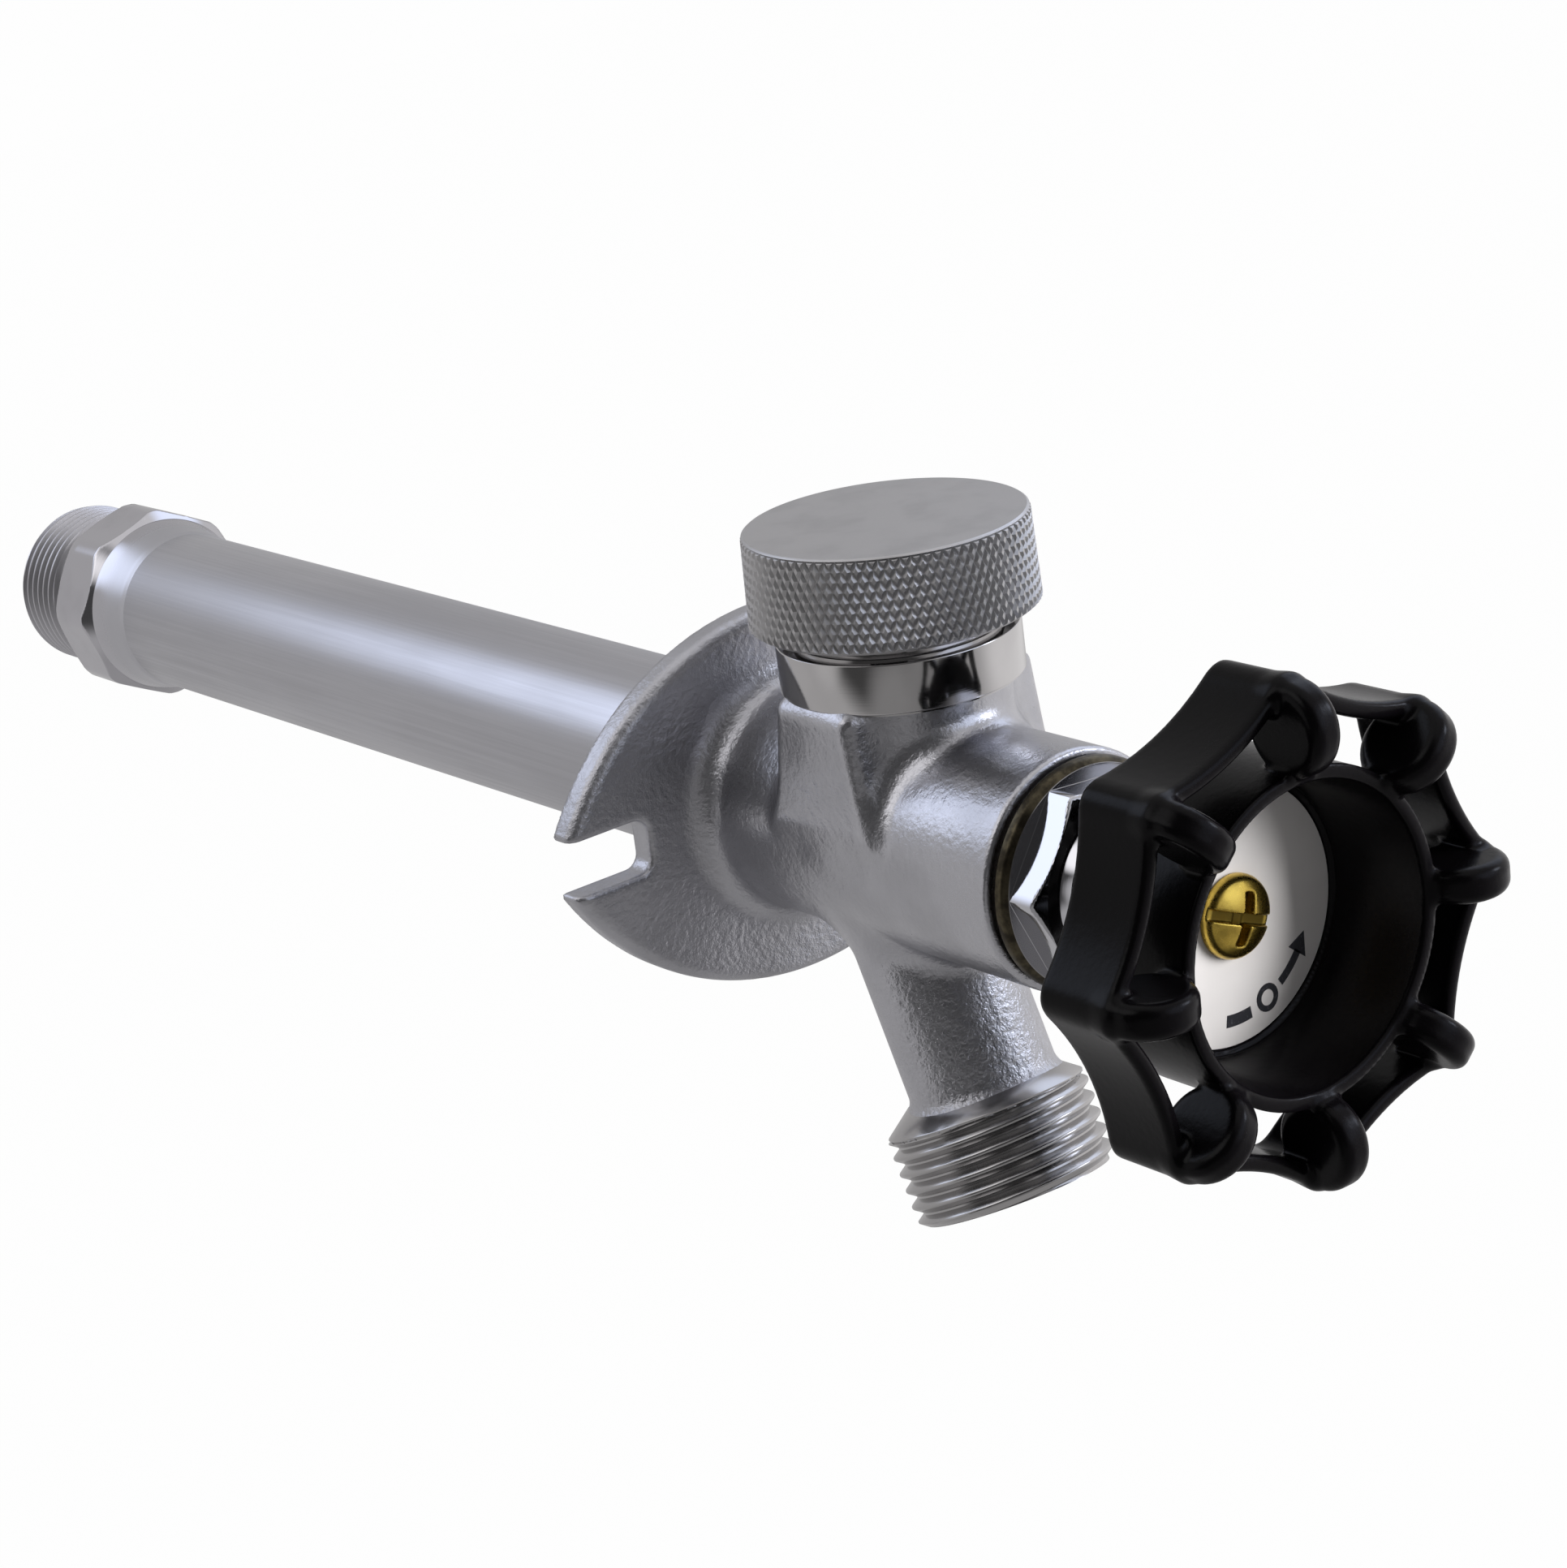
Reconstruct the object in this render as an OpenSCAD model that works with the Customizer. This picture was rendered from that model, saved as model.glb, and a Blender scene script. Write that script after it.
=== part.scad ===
// Frost free sillcock: wall flange body with hose nozzle and vacuum breaker, a long casing tube,
// a threaded inlet with the valve seat at the far end, and a wheel that works the valve by a long rod.
// Millimetres. The wall plane is y = 0, the tube runs into the wall along +Y, the wheel is at -Y, +Z is up.
// The origin is on the barrel's axis, in the plane of the flange's back face.

/* [Body] */
// Radius of the cast barrel
barrel_r = 15.2; // [14.6:0.1:16]
// Distance from the wall to the barrel's front face
barrel_len = 58.6; // [57.6:0.1:60.6]
// Edge bevel at the barrel's front face
barrel_bevel = 0.7; // [0.3:0.1:1]
// Radius of the water chamber in the barrel
chamber_r = 11.4; // [10.8:0.1:11.8]
// Distance from the wall to the chamber's front wall
chamber_front = 35; // [34.6:0.1:35.4]
// Thickness of the flange
flange_t = 4; // [3:0.1:4.8]
// Half height of the flange
flange_half_h = 25.2; // [23:0.1:27]
// Half width of the flange at the tips beside the slots
flange_half_w = 36.6; // [34:0.1:40]
// Width of the screw slots
slot_w = 7.2; // [6:0.1:8]
// Distance from the axis to the inner end of a slot
slot_inner_x = 24.3; // [23:0.1:26]
// Corner radius at the inner end of a slot
slot_corner_r = 2; // [1:0.1:2.8]
// Rise of the fillet between flange and barrel
hub_fillet = 3.2; // [2:0.1:4.5]
// Distance from the middle plane to the face of the bare side pads
pad_x = 15.7; // [15.4:0.1:16.2]
// Height of the side pads' lower edge
pad_z = 3; // [1:0.5:5]
// Length of the side pads' lower edge
pad_len = 25; // [20:0.5:27]
// Length of the side pads' upper edge
pad_top_len = 14; // [10:0.5:18]

/* [Casing tube] */
// Outer radius of the tube
tube_r = 12.5; // [12.2:0.05:12.7]
// Wall of the tube
tube_wall = 1.4; // [1.2:0.05:1.6]
// Depth of the tube's socket in the body
tube_in_body = 12; // [10:0.5:12.5]
// Gap all round between the tube and its sockets
socket_gap = 0.05; // [0.03:0.01:0.08]

/* [Inlet fitting] */
// Distance from the wall to the inlet's end
inlet_end = 189.5; // [187:0.5:215]
// Length of the male thread
inlet_thread_len = 12; // [11:0.5:13]
// Crest radius of the male thread
inlet_thread_r = 13.1; // [12.9:0.05:13.33]
// Pitch of the male thread
inlet_pitch = 1.814; // [1.8:0.001:1.83]
// Depth of the male thread
inlet_thread_h = 1.15; // [0.9:0.05:1.3]
// Radius of the plain neck
inlet_neck_r = 12.2; // [12:0.05:12.6]
// Length of the plain neck
inlet_neck_len = 4; // [3.5:0.1:5]
// Width across the eight flats
inlet_flats = 29.2; // [28.6:0.1:30]
// Length of the eight flats
inlet_flats_len = 9.5; // [9:0.1:11]
// Length of the cone between the flats and the tube
inlet_cone_len = 8; // [7:0.1:9]
// Radius at the cone's small end
inlet_cone_r = 13.3; // [13:0.05:13.6]
// Depth of the tube's socket in the fitting
tube_in_inlet = 9; // [8:0.5:10]
// Radius of the female thread's bore
inlet_bore_r = 9.4; // [9.2:0.05:9.6]
// Length of the female thread's bore
inlet_bore_len = 14; // [13:0.5:15]
// Radius of the port through the seat
seat_port_r = 6.4; // [6:0.1:6.6]
// Distance from the inlet's end to the seat
seat_back = 22.5; // [22:0.1:23.5]
// Height of the seat's raised lip
seat_lip_h = 1.6; // [1.2:0.1:2]
// Outer radius of the seat's raised lip
seat_lip_r = 7.9; // [7.6:0.1:8.2]
// Radius of the valve chamber
valve_chamber_r = 11.1; // [11:0.05:11.3]

/* [Hose nozzle] */
// Tilt of the nozzle from straight down
nozzle_tilt = 22.8; // [20:0.1:25]
// Distance from the wall to where the nozzle's axis meets the barrel's axis
nozzle_root = 19.6; // [19:0.1:20]
// Length of the nozzle along its axis
nozzle_len = 52.1; // [50:0.1:54]
// Crest radius of the hose thread
hose_thread_r = 13.49; // [13.4:0.01:13.6]
// Pitch of the hose thread
hose_pitch = 2.209; // [2.2:0.001:2.22]
// Depth of the hose thread
hose_thread_h = 1.1; // [0.9:0.05:1.25]
// Number of crests on the hose thread
hose_turns = 5; // [4:1:5]
// Length of the cone behind the hose thread
hose_cone_len = 3.2; // [2.6:0.1:3.6]
// Half width of the cast neck
nozzle_neck_x = 9.0; // [8.8:0.1:9.6]
// Half depth of the cast neck
nozzle_neck_y = 10.6; // [10.2:0.1:11]
// Forward shift of the cast neck
nozzle_neck_shift = 1.7; // [1:0.1:1.9]
// Radius of the water way in the nozzle
nozzle_bore_r = 6.8; // [6.4:0.1:7]

/* [Vacuum breaker] */
// Distance from the wall to the vacuum breaker's axis
vb_y = 29; // [28.6:0.1:29.2]
// Radius of the cast neck
vb_neck_r = 13.7; // [13.2:0.1:14]
// Height of the collar's underside
collar_z = 19.8; // [19:0.1:20.2]
// Height of the collar
collar_h = 6.4; // [6:0.1:6.8]
// Radius of the machined collar
collar_r = 15.4; // [15:0.1:15.8]
// Radius of the spigot above the collar
spigot_r = 13.2; // [13:0.1:13.4]
// Height of the spigot above the collar
spigot_h = 8; // [7:0.1:8.4]
// Width of the air grooves in the spigot
air_groove_w = 4; // [3:0.1:5]
// Depth of the air grooves in the spigot
air_groove_d = 1.2; // [0.8:0.05:1.3]
// Radius of the vacuum breaker's bore
vb_bore_r = 10.6; // [10.2:0.1:10.8]
// Height of the bore's floor
vb_floor_z = 17; // [16.6:0.1:17.2]
// Radius of the water port in the floor
vb_port_r = 5.6; // [5:0.1:5.8]
// Radius of the knurled cap at its top
cap_r_top = 18; // [17.6:0.1:18.2]
// Radius of the knurled cap at its bottom
cap_r_bottom = 18.35; // [18:0.05:18.6]
// Height of the cap's underside
cap_z = 28.2; // [27.8:0.1:28.4]
// Height of the cap's top
cap_top_z = 40.3; // [40:0.1:41.5]
// Thickness of the cap's top
cap_roof_t = 2.6; // [2:0.1:2.8]
// Travel of the float
float_travel = 2.5; // [2.2:0.1:2.6]
// Radius of the float's disc
float_r = 8.6; // [8.2:0.1:8.8]
// Radius of the float's stem
float_stem_r = 2.2; // [2:0.05:2.4]
// Thickness of the float's disc
float_disc_t = 2.4; // [2.2:0.1:2.5]
// Thickness of the float's rubber seal
float_seal_t = 1.2; // [1:0.1:1.4]

/* [Packing and stem] */
// Depth of the packing nut's thread in the body
nut_thread_len = 5.4; // [5:0.1:5.6]
// Radius of the packing nut's thread
nut_thread_r = 10.9; // [10.6:0.1:11.1]
// Radius of the packing nut's round shoulder
nut_shoulder_r = 14.5; // [14.2:0.1:14.8]
// Thickness of the packing nut's round shoulder
nut_shoulder_t = 2; // [1.8:0.1:2.2]
// Thickness of the fibre washer under the nut
nut_washer_t = 0.6; // [0.5:0.1:0.8]
// Width across the packing nut's flats
nut_flats = 24; // [23.4:0.1:24.6]
// Height of the packing nut's flats
nut_flats_h = 4.8; // [4.4:0.1:5]
// Radius of the packing nut's nose
nut_nose_r = 10.2; // [9.8:0.1:10.6]
// Height of the packing nut's nose
nut_nose_h = 1.6; // [1.2:0.1:1.8]
// Radius of the packing box
box_r = 7.7; // [7.5:0.05:7.8]
// Thickness of one packing ring
packing_t = 1.7; // [1.6:0.05:1.75]
// Thickness of the brass packing washers
packing_washer_t = 1.1; // [1:0.05:1.15]
// Radius of the stem
stem_r = 4.4; // [4.3:0.05:4.5]
// Radius of the stem's driving thread
drive_r = 5.9; // [5.7:0.05:6]
// Advance of the driving thread in one turn
drive_lead = 4.2; // [4:0.1:4.3]
// Length of the driving thread on the stem
drive_len = 16.6; // [15.5:0.1:17]
// Turns of the wheel from shut to open
open_turns = 1.5; // [1.2:0.05:1.5]
// Running gap all round between the stem and what it turns in
run_gap = 0.06; // [0.03:0.01:0.08]
// Radius of the operating rod
rod_r = 4; // [3.8:0.05:4.2]
// Length of the rod's end inside the stem
rod_in_stem = 9; // [8:0.5:10]
// Radius of the rod's end inside the stem
rod_end_r = 2.9; // [2.8:0.05:3.1]

/* [Plunger] */
// Radius of the plunger's head
plunger_r = 9.6; // [9.4:0.05:9.8]
// Length of the plunger
plunger_len = 17; // [16:0.5:18]
// Radius over the plunger's guide fins
fin_r = 10.7; // [10.5:0.05:10.8]
// Thickness of the guide fins
fin_t = 2.4; // [2:0.1:3]
// Radius of the seat washer
washer_r = 8.8; // [8.5:0.05:8.9]
// Thickness of the seat washer
washer_t = 4; // [3.6:0.1:4.2]
// Depth that the seat washer sits in the plunger
washer_in_cup = 2.6; // [2.2:0.1:2.8]
// Gap between the shut washer and the seat
seat_gap = 0.03; // [0.02:0.01:0.05]
// Radius of the washer screw's head
washer_screw_head_r = 3.9; // [3.5:0.1:4.1]
// Radius of the washer screw's shank
washer_screw_r = 1.9; // [1.7:0.05:2]

/* [Wheel] */
// Distance from the wall to the back of the wheel's rim
rim_back = 85; // [84:0.1:86]
// Width of the wheel's rim
rim_w = 11.5; // [11:0.1:12]
// Radius of the wheel at its lobes
lobe_r = 31; // [30:0.1:31.6]
// Radius of the hollows between the lobes
hollow_r = 27.3; // [27:0.1:28]
// Radius of the hollows' own arc
hollow_arc = 33; // [31:0.5:36]
// Radius of the round lobes
lobe_tip_r = 2.5; // [2.2:0.1:2.8]
// Thickness of the rim
rim_t = 2.1; // [1.8:0.1:2.5]
// Radius at which the spokes' round fronts are centred
spoke_c = 25; // [24.6:0.1:25.4]
// Radius of the spokes' round fronts
spoke_r = 5.7; // [5.4:0.1:5.9]
// Thickness of a spoke
spoke_t = 4.4; // [4:0.1:5]
// Distance from the rim's front to the spokes' front
spoke_out = 5.8; // [5.4:0.1:6.2]
// Outer radius of the cup
cup_r = 20.1; // [19.8:0.1:20.4]
// Inner radius of the cup at its mouth
cup_mouth_r = 18.4; // [18:0.1:18.6]
// Inner radius of the cup at the label
cup_floor_r = 16.6; // [16.2:0.1:17]
// Distance from the wall to the cup's front edge
cup_front = 97.4; // [97:0.1:98]
// Distance from the wall to the label's front
label_front = 84.2; // [83.8:0.1:84.6]
// Radius of the wheel's hub
hub_r = 8.4; // [8:0.1:9]
// Gap between the shut wheel and the packing nut
hub_gap = 2.2; // [1.8:0.1:2.6]
// Width across the square on the stem
square_w = 6; // [5.8:0.05:6.1]
// Gap all round at the square
square_gap = 0.04; // [0.02:0.01:0.08]
// Radius of the label
label_r = 15.9; // [15.6:0.05:16.1]
// Thickness of the label
label_t = 0.5; // [0.4:0.05:0.6]
// Radius of the handle screw's head
handle_screw_head_r = 5.1; // [4.8:0.05:5.3]
// Height of the handle screw's head
handle_screw_head_h = 2.8; // [2.5:0.1:3]
// Radius of the handle screw's shank
handle_screw_r = 2; // [1.9:0.05:2.1]
// Length of the handle screw's shank
handle_screw_len = 12; // [11:0.5:12.5]

/* [Hidden] */
$fn = 96;
eps = 0.01;
// small clearances between pieces that are screwed or pressed together
fit_gap = 0.05;
face_gap = 0.02;
// travel of the rod from shut to open
travel = drive_lead * open_turns;
barrel_front_y = -barrel_len;
// the long arcs pass the flange's top and the slots' outer corners
flange_rise = flange_half_h - slot_w / 2;
flange_arc_r = (pow(flange_half_w, 2) + pow(flange_rise, 2)) / (2 * flange_rise);
tube_ir = tube_r - tube_wall;
tube_front_y = -tube_in_body;
// inlet fitting, from its end towards the body
inlet_thread_y = inlet_end - inlet_thread_len;
inlet_flats_y1 = inlet_thread_y - inlet_neck_len;
inlet_flats_y0 = inlet_flats_y1 - inlet_flats_len;
inlet_y0 = inlet_flats_y0 - inlet_cone_len;
tube_back_y = inlet_y0 + tube_in_inlet;
flats_vertex_r = inlet_flats / 2 / cos(22.5);
seat_y = inlet_end - seat_back;
seat_floor_y = seat_y + seat_lip_h;
// packing nut and packing box, from the barrel's front
nut_seat_y = barrel_front_y - nut_washer_t;
nut_flats_y = nut_seat_y - nut_shoulder_t;
nut_nose_y = nut_flats_y - nut_flats_h;
nut_front_y = nut_nose_y - nut_nose_h;
nut_bore_y = barrel_front_y + nut_thread_len - nut_washer_t;
box_front_y = nut_bore_y + 0.2;
gland_y0 = nut_bore_y + face_gap;
gland_y1 = gland_y0 + packing_washer_t;
ring1_y0 = gland_y1 + face_gap;
ring1_y1 = ring1_y0 + packing_t;
ring2_y0 = ring1_y1 + face_gap;
ring2_y1 = ring2_y0 + packing_t;
pwash_y0 = ring2_y1 + face_gap;
pwash_y1 = pwash_y0 + packing_washer_t;
box_back_y = pwash_y1 + face_gap;
packing_or = box_r - fit_gap;
// the driving thread's wall reaches from the packing box to the chamber
drive_bore_r = drive_r + run_gap;
drive_front_y = box_back_y + travel + 0.25;
drive_back_y = drive_front_y + drive_len;
// wheel and stem front
hub_back_y = nut_front_y - hub_gap;
label_front_y = -label_front;
label_back_y = label_front_y + label_t;
floor_front_y = label_back_y + face_gap;
square_back_y = hub_back_y - 1.5;
square_front_y = floor_front_y + 0.4;
rim_back_y = -rim_back;
rim_front_y = rim_back_y - rim_w;
spoke_front_y = rim_front_y - spoke_out;
spoke_centre_y = spoke_front_y + spoke_r;
cup_front_y = -cup_front;
cup_back_y = floor_front_y + 2.6;
// plunger, washer and rod at the shut position
washer_back_y = seat_y - seat_gap;
washer_front_y = washer_back_y - washer_t;
plunger_back_y = washer_front_y + washer_in_cup;
plunger_front_y = plunger_back_y - plunger_len;
cup_wall_r = washer_r + fit_gap;
pin_y = plunger_front_y + 5;
pin_r = 1;
pin_offset = 3.1;
swivel_r = 3.2;
swivel_groove_r = pin_offset - pin_r - 0.1;
swivel_groove_w = 2 * pin_r + 0.3;
swivel_end_y = plunger_front_y + 8.5;
rod_shoulder_y = plunger_front_y - 0.15;
stem_back_y = drive_back_y + 6;
// vacuum breaker
collar_top_z = collar_z + collar_h;
spigot_top_z = collar_top_z + spigot_h;
cap_in_r = spigot_r + fit_gap;
cap_roof_z = cap_top_z - cap_roof_t;
seat_ring_h = 0.8;
float_z = vb_floor_z + seat_ring_h + face_gap;
float_top_z = float_z + float_disc_t;
float_seal_top_z = float_top_z + face_gap + float_seal_t;
bonnet_z = float_seal_top_z + float_travel + 0.15;
bonnet_t = 4;
bonnet_r = vb_bore_r - fit_gap;
bonnet_flange_z = spigot_top_z + face_gap;
bonnet_flange_t = 1.2;
bonnet_guide_r = float_stem_r + 0.15;
float_stem_top_z = bonnet_z + bonnet_t + 1.2;
oring_w = 1;

// a cylinder along Y from y0 up to y1
module ycyl(r, y0, y1) {
  translate([0, y0, 0]) rotate([-90, 0, 0]) cylinder(r = r, h = y1 - y0);
}

// a cone along Y, radius r0 at y0 and r1 at y1
module ycone(r0, r1, y0, y1) {
  translate([0, y0, 0]) rotate([-90, 0, 0]) cylinder(r1 = r0, r2 = r1, h = y1 - y0);
}

// a turned shape about Y from points of radius and y
module yturn(points) {
  rotate([-90, 0, 0]) rotate_extrude() polygon(points);
}

// points of a thread's side as rings: crests of radius r and roots r - h, n turns of pitch p from a
function ring_points(r, h, p, n, a) = [for (i = [0 : n - 1]) each [
  [r - h, a + p * i], [r, a + p * (i + 0.36)], [r, a + p * (i + 0.64)], [r - h, a + p * (i + 1)]]];

// the flange's outline as a plate from y0 to y1, drawn in by d all round
module flange_plate(d, y0, y1) {
  intersection() {
    translate([0, 0, flange_half_h - flange_arc_r]) ycyl(flange_arc_r - d, y0, y1);
    translate([0, 0, flange_arc_r - flange_half_h]) ycyl(flange_arc_r - d, y0, y1);
  }
}

// a screw slot, open at the tip; side is 1 or -1
module flange_slot(side) {
  x0 = slot_inner_x + slot_corner_r;
  w = slot_w / 2 - slot_corner_r;
  mirror([side > 0 ? 0 : 1, 0, 0]) union() {
    translate([x0, -flange_t - 1, -slot_w / 2]) cube([flange_half_w, flange_t + 2, slot_w]);
    translate([slot_inner_x, -flange_t - 1, -w]) cube([flange_half_w, flange_t + 2, 2 * w]);
    translate([x0, 0, w]) ycyl(slot_corner_r, -flange_t - 1, 1);
    translate([x0, 0, -w]) ycyl(slot_corner_r, -flange_t - 1, 1);
  }
}

// places a shape drawn with the nozzle's end at z = -nozzle_len
module at_nozzle() {
  translate([0, -nozzle_root, 0]) rotate([-nozzle_tilt, 0, 0]) children();
}

// side of the hose thread, from the mouth upwards
function hose_points() = let (e = -nozzle_len, top = e + 0.4 + hose_pitch * hose_turns) concat(
  [[0, e], [hose_thread_r - hose_thread_h, e]],
  ring_points(hose_thread_r, hose_thread_h, hose_pitch, hose_turns, e + 0.4),
  [[hose_thread_r - 0.3, top + 0.5], [nozzle_neck_x, top + 0.5 + hose_cone_len], [0, top + 0.5 + hose_cone_len]]);

// the cast neck of the nozzle, an oval pushed forward
module nozzle_neck() {
  translate([0, -nozzle_neck_shift, -nozzle_len + 12])
    linear_extrude(height = nozzle_len - 12)
      polygon([for (i = [0 : 59]) [nozzle_neck_x * cos(6 * i), nozzle_neck_y * sin(6 * i)]]);
}

// the bare pads on both sides of the body, under the collar
module side_pads() {
  pad_back_y = -vb_y + pad_len * 0.4;
  top_y = -vb_y + pad_top_len * 0.5;
  rotate([90, 0, 90]) translate([0, 0, -pad_x]) linear_extrude(height = 2 * pad_x)
    polygon([[pad_back_y, pad_z], [pad_back_y - pad_len, pad_z],
      [top_y - pad_top_len, collar_z + 0.1], [top_y, collar_z + 0.1]]);
}

module body_shape() {
  flange_plate(0.9, -flange_t, 0);
  flange_plate(0, -flange_t + 0.9, 0);
  yturn([[0, -1], [barrel_r + hub_fillet, -flange_t + 0.2], [barrel_r + hub_fillet, -flange_t],
    [barrel_r + 0.45 * hub_fillet, -flange_t - 0.5 * hub_fillet],
    [barrel_r, -flange_t - 1.3 * hub_fillet], [barrel_r, barrel_front_y + barrel_bevel],
    [barrel_r - barrel_bevel, barrel_front_y], [0, barrel_front_y]]);
  translate([0, -vb_y, 0]) cylinder(r = vb_neck_r, h = collar_z + 0.5);
  translate([0, -vb_y, collar_z]) cylinder(r = collar_r, h = collar_h);
  translate([0, -vb_y, collar_top_z]) cylinder(r = spigot_r, h = spigot_h);
  side_pads();
  at_nozzle() nozzle_neck();
  at_nozzle() rotate_extrude() polygon(hose_points());
}

module air_grooves() {
  for (i = [0 : 3]) {
    translate([0, -vb_y, 0]) rotate([0, 0, 45 + 90 * i])
      translate([spigot_r - air_groove_d, -air_groove_w / 2, collar_top_z + 0.6])
        cube([air_groove_d + 1, air_groove_w, spigot_h + 1]);
  }
}

module body_casting() {
  color("silver") difference() {
    body_shape();
    flange_slot(1);
    flange_slot(-1);
    ycyl(tube_r + socket_gap, tube_front_y - face_gap, 1);
    ycyl(chamber_r, -chamber_front, tube_front_y);
    ycyl(drive_bore_r, box_back_y - 1, -chamber_front + 1);
    ycyl(box_r, box_front_y - 1, box_back_y);
    ycyl(nut_thread_r + fit_gap, barrel_front_y - 1, nut_bore_y + 0.2);
    at_nozzle() translate([0, 0, -nozzle_len - 1]) cylinder(r = nozzle_bore_r, h = nozzle_len + 1);
    translate([0, -vb_y, 0]) cylinder(r = vb_port_r, h = vb_floor_z + 2);
    translate([0, -vb_y, 0]) difference() {
      translate([0, 0, vb_floor_z]) cylinder(r = vb_bore_r, h = spigot_top_z);
      translate([0, 0, vb_floor_z - 1]) cylinder(r = vb_port_r + 1, h = 1 + seat_ring_h);
    }
    air_grooves();
  }
}

module casing_tube() {
  color("lightsteelblue") difference() {
    ycyl(tube_r, tube_front_y, tube_back_y);
    ycyl(tube_ir, tube_front_y - 1, tube_back_y + 1);
  }
}

module inlet_flats() {
  intersection() {
    translate([0, inlet_y0, 0]) rotate([-90, 0, 0]) rotate([0, 0, 3.8])
      cylinder(r = flats_vertex_r, h = inlet_flats_y1 - inlet_y0, $fn = 8);
    yturn([[0, inlet_y0], [inlet_cone_r, inlet_y0], [flats_vertex_r, inlet_flats_y0],
      [flats_vertex_r, inlet_flats_y1 - 0.5], [flats_vertex_r - 0.9, inlet_flats_y1], [0, inlet_flats_y1]]);
  }
}

module inlet_fitting() {
  thread_n = floor((inlet_thread_len - 1) / inlet_pitch);
  color("gainsboro") difference() {
    union() {
      inlet_flats();
      ycyl(inlet_neck_r, inlet_y0 + 1, inlet_thread_y + 0.5);
      yturn(concat([[0, inlet_thread_y], [inlet_thread_r - inlet_thread_h, inlet_thread_y]],
        ring_points(inlet_thread_r, inlet_thread_h, inlet_pitch, thread_n, inlet_thread_y + 0.1),
        [[inlet_thread_r - inlet_thread_h, inlet_end], [0, inlet_end]]));
    }
    ycyl(tube_r + socket_gap, inlet_y0 - 1, tube_back_y + face_gap);
    difference() {
      ycyl(valve_chamber_r, inlet_y0 - 1, seat_floor_y);
      ycyl(seat_lip_r, seat_y, seat_floor_y + 1);
    }
    ycyl(seat_port_r, seat_y - 1, inlet_end);
    ycyl(inlet_bore_r, inlet_end - inlet_bore_len, inlet_end + 1);
  }
}

module nut_washer() {
  color("firebrick") difference() {
    ycyl(nut_shoulder_r - 0.8, nut_seat_y + face_gap, barrel_front_y - face_gap);
    ycyl(nut_thread_r + 2 * fit_gap, nut_seat_y - 1, barrel_front_y + 1);
  }
}

module packing_nut() {
  vertex_r = nut_flats / 2 / cos(30);
  color("lightgray") difference() {
    union() {
      ycyl(nut_thread_r, nut_flats_y, nut_bore_y);
      yturn([[0, nut_flats_y], [nut_shoulder_r - 0.8, nut_flats_y], [nut_shoulder_r, nut_flats_y + 0.8],
        [nut_shoulder_r, nut_seat_y], [0, nut_seat_y]]);
      intersection() {
        translate([0, nut_nose_y, 0]) rotate([-90, 0, 0]) rotate([0, 0, 5])
          cylinder(r = vertex_r, h = nut_flats_h + 0.1, $fn = 6);
        yturn([[0, nut_nose_y], [vertex_r - 1.5, nut_nose_y], [vertex_r, nut_nose_y + 0.9],
          [vertex_r, nut_flats_y + 0.1], [0, nut_flats_y + 0.1]]);
      }
      ycone(nut_nose_r - 0.7, nut_nose_r, nut_front_y, nut_nose_y + 0.1);
    }
    ycyl(stem_r + run_gap, nut_front_y - 1, nut_bore_y + 1);
  }
}

// a ring round the stem in the packing box
module box_ring(y0, y1) {
  difference() {
    ycyl(packing_or, y0, y1);
    ycyl(stem_r + run_gap, y0 - 1, y1 + 1);
  }
}

module packing_gland() {
  color("goldenrod") box_ring(gland_y0, gland_y1);
}

module packing_ring_front() {
  color("dimgray") box_ring(ring1_y0, ring1_y1);
}

module packing_ring_back() {
  color("dimgray") box_ring(ring2_y0, ring2_y1);
}

module packing_washer() {
  color("goldenrod") box_ring(pwash_y0, pwash_y1);
}

module stem() {
  turns = floor((drive_len - 1) / 2.1);
  color("goldenrod") difference() {
    union() {
      ycyl(stem_r, square_back_y, stem_back_y);
      yturn(concat([[0, drive_front_y], [drive_r - 0.8, drive_front_y]],
        ring_points(drive_r, 0.8, 2.1, turns, drive_front_y + 0.3),
        [[drive_r - 0.8, drive_back_y], [0, drive_back_y]]));
      ycyl(rod_r + 1.2, drive_back_y - 1, stem_back_y);
      intersection() {
        translate([-square_w / 2, square_front_y, -square_w / 2])
          cube([square_w, square_back_y - square_front_y + 1, square_w]);
        ycyl(stem_r, square_front_y, square_back_y + 1);
      }
    }
    ycyl(handle_screw_r + fit_gap, square_front_y - 1, floor_front_y + handle_screw_len + 0.4);
    ycyl(rod_end_r + fit_gap, stem_back_y - rod_in_stem - 0.1, stem_back_y + 1);
  }
}

module operating_rod() {
  color("darkgoldenrod") difference() {
    union() {
      ycyl(rod_r, stem_back_y + face_gap, rod_shoulder_y);
      ycyl(rod_end_r, stem_back_y - rod_in_stem, stem_back_y + 1);
      ycyl(swivel_r, rod_shoulder_y - 1, swivel_end_y);
    }
    difference() {
      ycyl(swivel_r + 1, pin_y - swivel_groove_w / 2, pin_y + swivel_groove_w / 2);
      ycyl(swivel_groove_r, pin_y - swivel_groove_w, pin_y + swivel_groove_w);
    }
  }
}

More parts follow.
